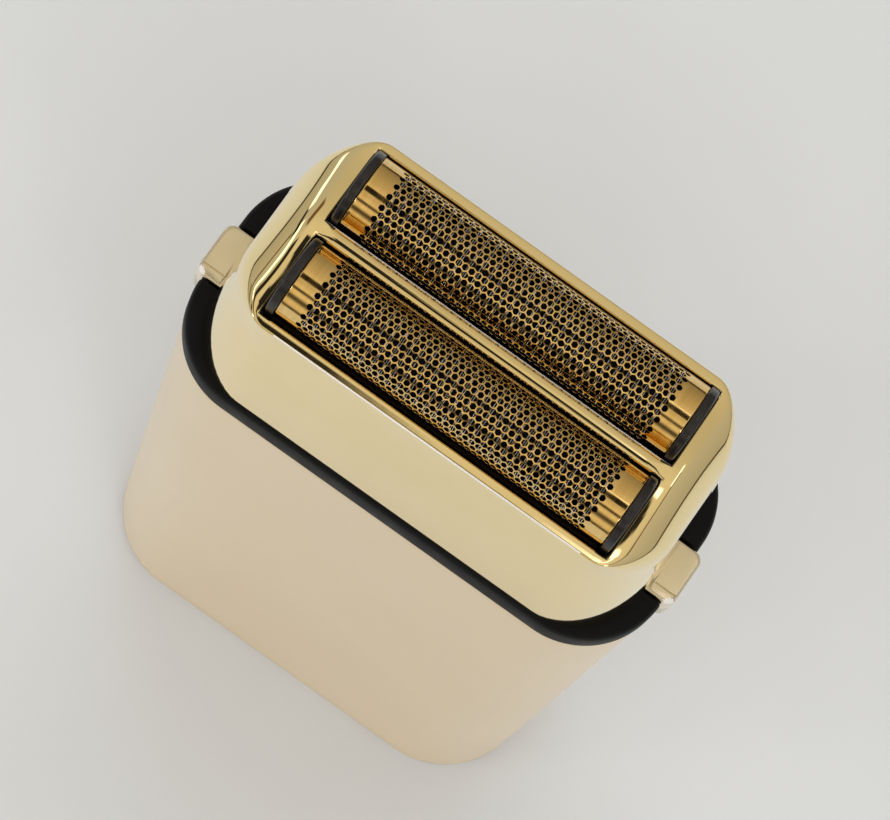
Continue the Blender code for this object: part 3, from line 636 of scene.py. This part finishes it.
def make_foil(word, side, materials):
    """A foil sheet with a hexagonal grid of holes, plain at both ends and down its legs."""
    center_y = side * FOIL_Y
    pitch = HOLE_PITCH
    s = pitch / math.sqrt(3)
    row_pitch = 1.5 * s
    half_rows = HOLE_ROWS // 2
    points = {}
    verts = []
    faces = []

    def vertex(x, v, lift=0.0):
        key = (round(x, 4), round(v, 4), lift)
        if key not in points:
            points[key] = len(verts)
            verts.append(wrap(center_y, x, v, lift))
        return points[key]

    quarter, half, slope = pitch / 4, pitch / 2, 0.75 * s
    cell = [(0, s), (-quarter, slope), (-half, s / 2), (-half, 0), (-half, -s / 2), (-quarter, -slope),
            (0, -s), (quarter, -slope), (half, -s / 2), (half, 0), (half, s / 2), (quarter, slope)]
    rim = []
    for x, v in cell:
        length = math.hypot(x, v)
        corner = 1.0 if abs(length - s) < 1e-6 else HOLE_FLAT
        rim.append((x / length * corner, v / length * corner))
    row_ends = {}
    wide_r = HOLE_R + HOLE_FLARE
    for row in range(-half_rows, half_rows + 1):
        columns = HOLE_COLUMNS if row % 2 == 0 else HOLE_COLUMNS - 1
        v0 = row * row_pitch
        row_ends[row] = (columns - 1) / 2 * pitch + pitch / 2
        for column in range(columns):
            x0 = (column - (columns - 1) / 2) * pitch
            outer = [vertex(x0 + x, v0 + v) for x, v in cell]
            upper = [vertex(x0 + x * wide_r, v0 + v * wide_r) for x, v in rim]
            lower = [vertex(x0 + x * HOLE_R, v0 + v * HOLE_R, -HOLE_SINK) for x, v in rim]
            for i in range(12):
                j = (i + 1) % 12
                faces.append((outer[i], outer[j], upper[j], upper[i]))
                faces.append((upper[i], upper[j], lower[j], lower[i]))
    # the jagged end of the field, as (x, v) points from front to back
    boundary = []
    for row in range(-half_rows, half_rows + 1):
        v0 = row * row_pitch
        x = row_ends[row]
        boundary += [(x, v0 - s / 2), (x, v0), (x, v0 + s / 2)]
        if row < half_rows:
            boundary.append(((x + row_ends[row + 1]) / 2, v0 + 0.75 * s))
    leg = FOIL_QUARTER + FOIL_Z - FOIL_LOW.z
    leg_levels = [FOIL_QUARTER, FOIL_QUARTER + 0.6, (FOIL_QUARTER + leg) / 2, leg]
    strip_x = [row_ends[0] + 0.35, (row_ends[0] + FOIL_X) / 2, FOIL_X - 0.2, FOIL_X]
    for end in (-1, 1):
        rows = [(boundary[0][0], -v) for v in reversed(leg_levels)] + boundary
        rows += [(boundary[-1][0], v) for v in leg_levels]
        for (x_a, v_a), (x_b, v_b) in zip(rows, rows[1:]):
            chain_a = [x_a] + strip_x
            chain_b = [x_b] + strip_x
            for k in range(len(strip_x)):
                quad = (vertex(end * chain_a[k], v_a), vertex(end * chain_a[k + 1], v_a),
                        vertex(end * chain_b[k + 1], v_b), vertex(end * chain_b[k], v_b))
                faces.append(quad if end > 0 else tuple(reversed(quad)))
    # below the last row on each side: the zigzag, then the straight legs
    last_v = half_rows * row_pitch
    edge_columns = HOLE_COLUMNS if half_rows % 2 == 0 else HOLE_COLUMNS - 1
    zigzag = []
    for column in range(edge_columns):
        x0 = (column - (edge_columns - 1) / 2) * pitch
        zigzag += [(x0 - half, last_v + s / 2), (x0 - quarter, last_v + slope), (x0, last_v + s),
                   (x0 + quarter, last_v + slope)]
    zigzag.append((row_ends[half_rows], last_v + s / 2))
    for way in (-1, 1):
        for (x_a, v_a), (x_b, v_b) in zip(zigzag, zigzag[1:]):
            chain_a = [v_a] + leg_levels
            chain_b = [v_b] + leg_levels
            for k in range(len(leg_levels)):
                quad = (vertex(x_a, way * chain_a[k]), vertex(x_b, way * chain_b[k]),
                        vertex(x_b, way * chain_b[k + 1]), vertex(x_a, way * chain_a[k + 1]))
                faces.append(quad if way > 0 else tuple(reversed(quad)))
    piece = new_mesh(f"{word}_foil_sheet", verts, faces, [materials["gold_foil"]],
                     f"{word}_foil_unit", "gold_foil", 60.0)
    sheet = piece.modifiers.new("sheet", "SOLIDIFY")
    sheet.thickness = FOIL_SHEET * MM
    sheet.offset = -1.0
    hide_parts(f"{word}_foil")


def arch(center_y, radius, bottom_z, steps):
    """(y, z) outline: half a circle over straight sides, counter-clockwise seen from +X."""
    points = [(center_y - radius, bottom_z), (center_y + radius, bottom_z)]
    for step in range(steps + 1):
        angle = math.pi * step / steps
        points.append((center_y + radius * math.cos(angle), FOIL_Z + radius * math.sin(angle)))
    return points


def make_end_caps(word, side, materials):
    """The black arch at each end of a foil, rounded over towards the window's end."""
    center_y = side * FOIL_Y
    radius = CAP_HIGH.z - FOIL_Z
    low_z = CAP_LOW.z
    first, last = CAP_LOW.x - 0.25, CAP_HIGH.x + 0.13
    round_over = 0.3
    stations = [(first, 0.12), (first + 0.04, 0.03), (first + 0.12, 0.0), (first + 0.4, 0.0)]
    for step in range(7):
        turn = math.pi / 2 * step / 6
        stations.append((last - round_over * (1 - math.sin(turn)),
                         round_over * (1 - math.cos(turn))))
    for end, end_word in ((-1, "left"), (1, "right")):
        rings = []
        for x, inset in stations:
            outline = arch(center_y, radius - inset, low_z, 48)
            rings.append([(end * x, y, z) for y, z in outline])
        if end < 0:
            rings.reverse()
        verts, faces = ring_solid(rings)
        piece = new_mesh(f"{word}_end_arch_{end_word}", verts, faces, [materials["gloss_black"]],
                         f"{word}_foil_unit", "black_plastic", 40.0)
        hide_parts(f"{word}_end_cap_{end_word}")


def make_blades(word, side, materials):
    """A pack of thin arched blades, each with a ground line along both edges and painted shade on its sides
    and top, on a black root.
    """
    center_y = side * FOIL_Y
    low, high = node_box(f"{word}_blades")
    verts = []
    faces = []
    face_slots = []

    def add_solid(rings, ring_slots):
        start = len(verts)
        more_verts, more_faces = ring_solid(rings)
        verts.extend(more_verts)
        faces.extend(tuple(index + start for index in face) for face in more_faces)
        for used in ring_slots:
            face_slots.extend([used] * len(rings[0]))
        face_slots.extend([1, 1])

    half = (BLADE_COUNT - 1) * BLADE_PITCH / 2
    for number in range(BLADE_COUNT):
        x = -half + number * BLADE_PITCH
        rings = []
        first, last = x - BLADE_THICKNESS / 2, x + BLADE_THICKNESS / 2
        for at_x, inset in ((first, BLADE_BEVEL), (first + BLADE_GROUND, 0.0),
                            (last - BLADE_GROUND, 0.0), (last, BLADE_BEVEL)):
            rings.append([(at_x, y, z) for y, z in arch(center_y, BLADE_R - inset, low.z + 0.2, 28)])
        # the ground lines are steel; the top between them and the flat sides carry painted shade
        add_solid(rings, (0, 1, 0))
    root = arch(center_y, 2.6, low.z, 16)
    add_solid([[(x, y, z) for y, z in root] for x in (low.x, high.x)], (2,))
    used = [materials["steel"], materials["blade_painted_shade"], materials["matte_black"]]
    piece = new_mesh(f"{word}_blade_pack", verts, faces, used, f"{word}_cutter", "steel", 15.0,
                     face_slots)
    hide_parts(f"{word}_blades")


SPRING_WIRE_R = 0.3
SPRING_TURNS = 5.5
SPRING_CLOSED_TURNS = 0.75


def make_spring(word, materials):
    """The coil spring under a cutter, with closed ends; the real spring shortens as the cutter sinks."""
    low, high = node_box(f"cutter_spring_{word}")
    center = (low + high) / 2
    coil_r = (high.x - low.x) / 2 - SPRING_WIRE_R
    closed_rise = SPRING_CLOSED_TURNS * 2.1 * SPRING_WIRE_R
    start_z = low.z + SPRING_WIRE_R
    end_z = high.z - SPRING_WIRE_R
    steps = 200
    around = 10
    rings = []
    for step in range(steps + 1):
        turns = SPRING_TURNS * step / steps
        left = SPRING_TURNS - turns
        if turns < SPRING_CLOSED_TURNS:
            z = start_z + closed_rise * turns / SPRING_CLOSED_TURNS
        elif left < SPRING_CLOSED_TURNS:
            z = end_z - closed_rise * left / SPRING_CLOSED_TURNS
        else:
            share = (turns - SPRING_CLOSED_TURNS) / (SPRING_TURNS - 2 * SPRING_CLOSED_TURNS)
            z = start_z + closed_rise + (end_z - start_z - 2 * closed_rise) * share
        angle = 2 * math.pi * turns
        ring = []
        for side in range(around):
            turn = -2 * math.pi * side / around
            reach = coil_r + SPRING_WIRE_R * math.cos(turn)
            ring.append((center.x + reach * math.cos(angle), center.y + reach * math.sin(angle),
                         z + SPRING_WIRE_R * math.sin(turn)))
        rings.append(ring)
    verts, faces = ring_solid(rings)
    piece = new_mesh(f"{word}_cutter_coil", verts, faces, [materials["nickel"]], "cutter_bridge",
                     "nickel", 60.0)
    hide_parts(f"cutter_spring_{word}")
    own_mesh(piece)


# ---- body and collar ----
BODY_SECTIONS = (
    (4.3, 31.7, 13.8, 12.0),
    (36.0, 32.0, 14.2, 11.6),
    (72.0, 32.3, 14.55, 11.0),
    (107.7, 32.55, 14.85, 10.4),
)
BODY_WALL = 1.6
BUTTON_Z = 62.0
LENS_Z = 46.0
RELEASE_Y = 4.5
RELEASE_FRONT_Y = -2.9
RELEASE_Z = (113.0, 106.5)
POCKET_X = 28.2
HALF_SEAM = 0.06  # half the gap between the shells
BELOW, ABOVE, FAR = 100, 120, 40  # tools for cutting the top of the body reach this far


def smooth_sections(sections, count):
    """More sections between the given ones, on a smooth curve through them."""
    result = []
    for number in range(count + 1):
        place = (len(sections) - 1) * number / count
        low = min(int(place), len(sections) - 2)
        share = place - low
        before = sections[max(low - 1, 0)]
        first, second = sections[low], sections[low + 1]
        after = sections[min(low + 2, len(sections) - 1)]
        point = []
        for p0, p1, p2, p3 in zip(before, first, second, after):
            slope_1 = (p2 - p0) / 2
            slope_2 = (p3 - p1) / 2
            t, t2, t3 = share, share ** 2, share ** 3
            point.append((2 * t3 - 3 * t2 + 1) * p1 + (t3 - 2 * t2 + t) * slope_1
                         + (3 * t2 - 2 * t3) * p2 + (t3 - t2) * slope_2)
        result.append(tuple(point))
    return result


def box_tool(x_range, y_range, z_range):
    """A box to cut with."""
    (x0, x1), (y0, y1) = sorted(x_range), y_range
    rings = [[(x0, y0, z), (x1, y0, z), (x1, y1, z), (x0, y1, z)] for z in z_range]
    return raw_object("tool", *ring_solid(rings))


def make_shells(materials):
    sections = smooth_sections(BODY_SECTIONS, 12)
    inner = [(sections[0][0] - 2, *sections[0][1:])] + sections[1:-1]
    inner += [(sections[-1][0] + 2, *sections[-1][1:])]
    for word, front in (("front", True), ("rear", False)):
        shell = loft(f"{word}_body_shell", sections)
        cut(shell, loft("inner", inner, -BODY_WALL))
        if front:
            cut(shell, box_tool((-FAR, FAR), (-HALF_SEAM, FAR), (0, ABOVE)))
            cut(shell, turned("hole", ((7.3, -20), (7.3, -10)), "Y", (0, 0, BUTTON_Z)))
            cut(shell, turned("hole", ((1.3, -20), (1.3, -10)), "Y", (0, 0, LENS_Z), 32))
        else:
            cut(shell, box_tool((-FAR, FAR), (-FAR, HALF_SEAM), (0, ABOVE)))
        for side in (-1, 1):
            pocket_y = RELEASE_Y + 0.4
            cut(shell, box_tool((side * POCKET_X, side * FAR), (-pocket_y, pocket_y), (106.1, ABOVE)))
        dress(shell, [materials["gold_body"]], "housing", "gold_body")
        soften(shell, 0.18, 2, 50.0)
        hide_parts(f"{word}_shell")


def make_base(materials):
    sections = [(0.0, 29.5, 11.6, 10.2), (0.12, 29.9, 12.0, 10.5), (0.5, 30.55, 12.65, 11.1),
                (1.1, 31.1, 13.2, 11.5), (1.9, 31.45, 13.55, 11.8), (3.0, 31.64, 13.74, 11.95),
                (4.0, 31.7, 13.8, 12.0)]
    base = loft("gold_base_cap", sections)
    cut(base, turned("jack", ((4.2, -1), (4.2, 8))))
    cut(base, turned("jack_flare", ((4.9, -1), (4.9, 0.0), (4.2, 0.6))))
    for side in (-1, 1):
        cut(base, turned("head_hole", ((2.9, -1), (2.9, 1.6)), center=(side * 22.0, 0, 0)))
        cut(base, turned("shank_hole", ((1.5, -1), (1.5, 8)), center=(side * 22.0, 0, 0)))
    dress(base, [materials["gold_body"]], "housing", "gold_body")
    soften(base, 0.12, 2, 50.0)
    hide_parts("base_cap")


def make_collar(materials):
    sections = [(108.0, 32.4, 14.7, 10.3), (108.25, 32.6, 14.9, 10.45), (108.8, 32.7, 15.0, 10.5),
                (111.6, 32.7, 15.0, 10.5), (112.2, 32.62, 14.92, 10.45), (112.65, 32.4, 14.7, 10.3),
                (112.9, 32.1, 14.4, 10.1), (113.0, 31.6, 13.9, 9.8)]
    collar = loft("black_collar", sections, steps=28)
    cut(collar, loft("opening", [(z, 23.5, 9.2, 3.0) for z in (BELOW, ABOVE)], steps=8))
    pocket_y = (RELEASE_FRONT_Y - 0.3, RELEASE_Y + 0.3)
    for side in (-1, 1):
        # the pad's pocket, the arm's tunnel and the post's way up
        for near, far, y_range, z_range in ((28.0, FAR, pocket_y, (BELOW, ABOVE)),
                                            (23.0, 30.0, (-3.4, 3.4), (108.6, 111.8)),
                                            (23.0, 26.5, (-3.4, 3.4), (108.6, ABOVE))):
            cut(collar, box_tool((side * near, side * far), y_range, z_range))
    dress(collar, [materials["matte_black"]], "housing", "black_plastic")
    soften(collar, 0.12, 2, 50.0)
    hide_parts("collar")


# ---- controls ----
def make_power_button(materials):
    ring = turned("power_trim_ring", ((6.75, -14.85), (6.9, -14.82), (7.0, -14.7), (7.0, -12.0)),
                  "Y", (0, 0, BUTTON_Z), 96)
    cut(ring, turned("bore", ((5.8, -18), (5.8, -10)), "Y", (0, 0, BUTTON_Z), 96))
    dress(ring, [materials["gold_trim"]], "housing", "gold_trim")
    soften(ring, 0.12, 3, 40.0)
    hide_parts("power_ring")
    low, high = node_box("power_button")
    face = low.y
    profile = [(0.4, face + 0.55), (1.6, face + 0.5), (3.2, face + 0.34), (4.4, face + 0.12),
               (4.9, face + 0.01), (5.15, face), (5.35, face + 0.06), (5.47, face + 0.2), (5.5, face + 0.4),
               (5.5, high.y - 0.3), (2.0, high.y - 0.3), (2.0, high.y)]
    button = turned("power_key_cap", profile, "Y", (0, 0, BUTTON_Z), 96)
    dress(button, [materials["gold_trim"]], "power_key", "gold_trim", 30.0)
    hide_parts("power_button")


def make_release(word, side, materials):
    """Release button: a rounded pad grooved near its rear end, its arm and its hooked post; painted
    highlights on the pad's rear corners.
    """
    low, high = node_box(f"{word}_release")
    near = 29.9
    far = max(abs(low.x), abs(high.x))
    top, bottom = RELEASE_Z

    def plan(inset, grow=0.0):
        """Pad outline at one height: square towards the head, rounded outside."""
        radius = 1.3
        outer = far - inset
        half_y = RELEASE_Y - inset
        points = [(near + grow, half_y)]
        front_y = RELEASE_FRONT_Y + inset
        for center_y, start in ((half_y - radius, 90), (front_y + radius, 0)):
            for step in range(9):
                angle = math.radians(start - 90 * step / 8)
                points.append((outer - radius + radius * math.cos(angle),
                               center_y + radius * math.sin(angle)))
        points.append((near + grow, front_y))
        return points if side < 0 else points[::-1]

    edge = 0.45
    levels = [(bottom, edge, 0.0), (bottom + 0.13, edge * 0.3, 0.0), (bottom + edge, 0.0, 0.0)]
    for step in range(6):
        turn = math.pi / 2 * step / 5
        levels.append((top - edge * (1 - math.sin(turn)), edge * (1 - math.cos(turn)), 0.0))
    levels[-1] = (top, edge, 0.75)
    levels[-2] = (levels[-2][0], levels[-2][1], 0.5)
    rings = [[(side * x, y, z) for x, y in plan(inset, grow)] for z, inset, grow in levels]
    pad = raw_object(f"{word}_release_pad", *ring_solid(rings))
    groove_y = RELEASE_Y - 1.35
    groove = (groove_y - 0.22, groove_y + 0.22)
    cut(pad, box_tool((side * (near + 0.7), side * FAR), groove, (top - 0.5, ABOVE)))
    cut(pad, box_tool((side * (far - 0.45), side * FAR), groove, (BELOW, ABOVE)))
    outline = [(25.2, 109.0), (30.6, 109.0), (30.6, 111.4), (26.2, 111.4), (26.2, 117.4), (27.0, 117.6),
               (26.4, 118.6), (25.2, 118.6)]
    outline = [(side * x, z) for x, z in outline]
    if side > 0:
        outline.reverse()
    rings = [[(x, y, z) for x, z in outline] for y in (-2.0, 3.0)]
    combine(pad, raw_object("arm", *ring_solid(rings)), "UNION")
    # painted highlight: the small corner faces at the pad's rear end get the near-white edge finish, as two
    # white glints
    face_slots = []
    for face in pad.data.polygons:
        middle = face.center / MM
        at_end = middle.y > groove_y + 0.35 and middle.z > top - 1.6
        at_corner = abs(middle.x) > far - 1.2 or near < abs(middle.x) < near + 1.2
        face_slots.append(1 if at_end and at_corner and face.area < 0.6 * MM * MM else 0)
    used = [materials["gold_trim"], materials["painted_highlight"]]
    dress(pad, used, f"{word}_release_key", "gold_trim", 35.0, face_slots)
    soften(pad, 0.14, 3, 40.0)
    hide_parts(f"{word}_release")


# ---- carried-over CAD pieces ----
def dress_cad_nodes(materials):
    """Give every CAD node that stays its slot's material."""
    slots = {entry["node"]: entry["material_slot"] for entry in frame["record"]["subparts"]}
    for name, obj in frame["nodes"].items():
        used = materials[slots[name]]
        if not obj.material_slots:
            obj.data.materials.append(used)
        for material_slot in obj.material_slots:
            material_slot.material = used


# ---- studio ----
FLOOR_SIZE = 1050.0

# Brightness of the studio by the angle from straight up, in degrees, positive towards the rear.
STUDIO_BANDS = (
    (-180, 0.30), (-104, 0.30), (-97, 0.30), (-95, 0.05), (-91, 0.06), (-88, 0.28), (-60, 0.40),
    (-22, 0.58), (-14, 0.70), (0, 0.68), (16, 0.60), (27, 0.80), (31, 0.70), (34, 0.08), (38, 0.08),
    (41, 0.75), (50, 0.84), (55, 0.45), (58, 0.08), (66, 0.12), (70, 0.40), (74, 0.74), (82, 0.76),
    (89, 0.60), (92, 0.10), (96, 0.05), (99, 0.60), (180, 0.60),
)
# Brightness by height alone, to the left and the right, as (height on the unit sphere, brightness).
STUDIO_SIDES = ((-1.0, 0.5), (-0.13, 0.5), (-0.10, 0.05), (-0.05, 0.06), (-0.01, 0.42), (0.25, 0.44),
                (0.6, 0.47), (1.0, 0.52))
BAND_TINT = (1.0, 0.875, 0.62)
SIDE_TINT = (1.0, 0.93, 0.78)

DARK = (0.02, 0.017, 0.014)
BROWN = (0.16, 0.09, 0.035)
WHITE = (1.9, 1.85, 1.75)
LAMP = (9.0, 8.8, 8.4)
PANEL_EDGE = 0.8  # softness of their edges, in degrees
# Flags, strips and lamps: tilt to the rear, tilt to the right, (width, length), turn, colour; degrees.
STUDIO_PANELS = (
    (-4.0, 5.0, (8.0, 10.0), 0.0, DARK),
    (7.0, -4.5, (8.0, 9.0), 0.0, DARK),
    (1.5, 0.5, (9.0, 9.0), 40.0, DARK),
    (-5.5, -5.5, (7.0, 4.5), 0.0, WHITE),
    (46.0, 38.0, (7.0, 7.0), 20.0, LAMP),
    (46.0, -38.0, (7.0, 7.0), -20.0, LAMP),
    (2.0, 22.0, (7.0, 16.0), 35.0, DARK),
    (-24.0, 27.0, (9.0, 14.0), -25.0, BROWN),
    (-8.0, 38.0, (4.0, 20.0), 28.0, WHITE),
    (20.0, 40.0, (5.0, 26.0), -30.0, DARK),
    (-22.0, 50.0, (5.0, 22.0), 35.0, DARK),
    (10.0, 57.0, (5.0, 30.0), -18.0, BROWN),
    (-44.0, 52.0, (7.0, 14.0), 15.0, WHITE),
    (30.0, 64.0, (6.0, 22.0), 24.0, DARK),
    (16.0, -17.0, (4.0, 22.0), -8.0, WHITE),
    (-20.0, -20.0, (4.0, 12.0), 12.0, WHITE),
    (0.0, -27.0, (3.0, 40.0), 8.0, BROWN),
)


def make_floor():
    made, tree, shader = node_material("floor", (0.75, 0.75, 0.757), 0.6, Specular_IOR_Level=0.2)
    two_tone(tree, shader, object_noise(tree, 24.0, 5.0), (0.745, 0.76, 0.81), (0.725, 0.74, 0.79))
    add_bump(tree, shader, object_noise(tree, 900.0, 3.0), 0.05, 0.05)
    size = FLOOR_SIZE
    verts = [(-size, -size, 0), (size, -size, 0), (size, size, 0), (-size, size, 0)]
    floor = raw_object("studio_floor", verts, [(0, 1, 2, 3)])
    floor.data.materials.append(made)


def tinted_ramp(tree, source, stops, low, high, tint):
    """A colour ramp over (value, brightness) stops between low and high."""
    ramp = add(tree, "ShaderNodeValToRGB")
    elements = ramp.color_ramp.elements
    while len(elements) < len(stops):
        elements.new(0.5)
    for element, (value, brightness) in zip(elements, stops):
        element.position = (value - low) / (high - low)
        element.color = tuple(brightness * part for part in tint) + (1.0,)
    tree.links.new(source, ramp.inputs["Fac"])
    return ramp.outputs["Color"]


def math_node(tree, operation, first, second=None):
    node = add(tree, "ShaderNodeMath", operation=operation)
    feed(tree, node.inputs[0], first)
    if second is not None:
        feed(tree, node.inputs[1], second)
    return node.outputs[0]


def panel(tree, direction, base, rear_angle, right_angle, size, turn, color):
    """A soft-edged rectangle in the sky: its two tilts, its size and turn, in degrees."""
    rear = math.radians(rear_angle)
    right = math.radians(right_angle)
    sin_rear, cos_rear = math.sin(rear), math.cos(rear)
    sin_right, cos_right = math.sin(right), math.cos(right)
    center = Vector((sin_right, sin_rear * cos_right, cos_rear * cos_right))
    across = Vector((cos_right, -sin_rear * sin_right, -cos_rear * sin_right))
    along = center.cross(across)
    spin = Matrix.Rotation(math.radians(turn), 3, center)
    masks = []
    facing = dot_with(tree, direction, center)
    for axis, width in ((spin @ across, size[0]), (spin @ along, size[1])):
        share = math_node(tree, "DIVIDE", dot_with(tree, direction, axis), facing)
        away = math_node(tree, "ABSOLUTE", share)
        half = math.tan(math.radians(width / 2))
        soft = math.tan(math.radians(PANEL_EDGE))
        masks.append(remap(tree, away, 1.0, 0.0, half - soft, half + soft))
    mask = math_node(tree, "MULTIPLY", masks[0], masks[1])
    mask = math_node(tree, "MULTIPLY", mask, math_node(tree, "GREATER_THAN", facing, 0.0))
    return mix_color(tree, mask, base, color)


def dot_with(tree, direction, vector):
    node = add(tree, "ShaderNodeVectorMath", operation="DOT_PRODUCT")
    node.inputs[1].default_value = vector
    tree.links.new(direction, node.inputs[0])
    return node.outputs["Value"]


def make_world():
    """Warm studio: soft bands of light across the shaver, flags and a few bright strips."""
    world = bpy.data.worlds.new("studio")
    bpy.context.scene.world = world
    world.use_nodes = True
    tree = world.node_tree
    background = tree.nodes["Background"]
    coords = add(tree, "ShaderNodeTexCoord")
    direction = coords.outputs["Generated"]
    split = add(tree, "ShaderNodeSeparateXYZ")
    tree.links.new(direction, split.inputs[0])
    angle = math_node(tree, "ARCTAN2", split.outputs["Y"], split.outputs["Z"])
    turned_share = remap(tree, angle, 0.0, 1.0, -math.pi, math.pi)
    bands = tinted_ramp(tree, turned_share, STUDIO_BANDS, -180, 180, BAND_TINT)
    height_share = remap(tree, split.outputs["Z"], 0.0, 1.0, -1.0, 1.0)
    sides = tinted_ramp(tree, height_share, STUDIO_SIDES, -1.0, 1.0, SIDE_TINT)
    sideways = remap(tree, math_node(tree, "ABSOLUTE", split.outputs["X"]), 0.0, 1.0, 0.30, 0.55)
    sky = mix_color(tree, sideways, bands, sides)
    for spec in STUDIO_PANELS:
        sky = panel(tree, direction, sky, *spec)
    tree.links.new(sky, background.inputs["Color"])
    background.inputs["Strength"].default_value = 1.0


def make_lights():
    """Large soft sources for the floor and the plastics; the metals mirror the studio itself."""
    for name, place, size, power in (
            ("key_softbox", (-100, 700, 1900), (1500, 1200), 13.0),
            ("fill_softbox", (300, -700, 1900), (1200, 1000), 9.0)):
        data = bpy.data.lights.new(name, "AREA")
        data.shape = "RECTANGLE"
        data.size, data.size_y = (value * MM for value in size)
        data.energy = power
        data.color = (0.87, 0.945, 1.0)
        light = bpy.data.objects.new(name, data)
        light.location = Vector(place) * MM
        light.rotation_mode = "QUATERNION"
        light.rotation_quaternion = (Vector((0, 0, 60)) - Vector(place)).to_track_quat("-Z", "Y")
        light.visible_glossy = False
        bpy.context.scene.collection.objects.link(light)


def make_camera():
    """The photograph's view: above the head, tilted towards the rear face and rolled."""
    turn = (Matrix.Rotation(CAMERA_ROLL, 3, "Z") @ Matrix.Rotation(CAMERA_SIDE, 3, "Y")
            @ Matrix.Rotation(-CAMERA_TILT, 3, "X"))
    back = Matrix.Rotation(math.pi, 3, "Z") @ turn.transposed()
    data = bpy.data.cameras.new("photo_camera")
    data.sensor_width = SENSOR
    data.lens = CAMERA_FOCAL_PX * SENSOR / PHOTO_WIDTH
    data.clip_start = 0.01
    data.clip_end = 20.0
    camera = bpy.data.objects.new("photo_camera", data)
    offset = Vector((-CAMERA_AIM[0], -CAMERA_AIM[1], CAMERA_DISTANCE))
    place = Vector((0, 0, HEAD_EDGE_Z)) + back @ offset
    camera.matrix_world = Matrix.Translation(place * MM) @ back.to_4x4()
    bpy.context.scene.collection.objects.link(camera)
    bpy.context.scene.camera = camera


def main():
    bpy.context.scene.view_settings.view_transform = "Standard"
    make_camera()
    make_world()
    make_lights()
    make_floor()
    materials = make_materials()
    dress_cad_nodes(materials)
    make_head_cap(materials)
    for word, side in (("front", -1), ("rear", 1)):
        make_foil(word, side, materials)
        make_end_caps(word, side, materials)
        make_blades(word, side, materials)
        make_spring(word, materials)
    make_shells(materials)
    make_base(materials)
    make_collar(materials)
    make_power_button(materials)
    for word, side in (("left", -1), ("right", 1)):
        make_release(word, side, materials)


main()
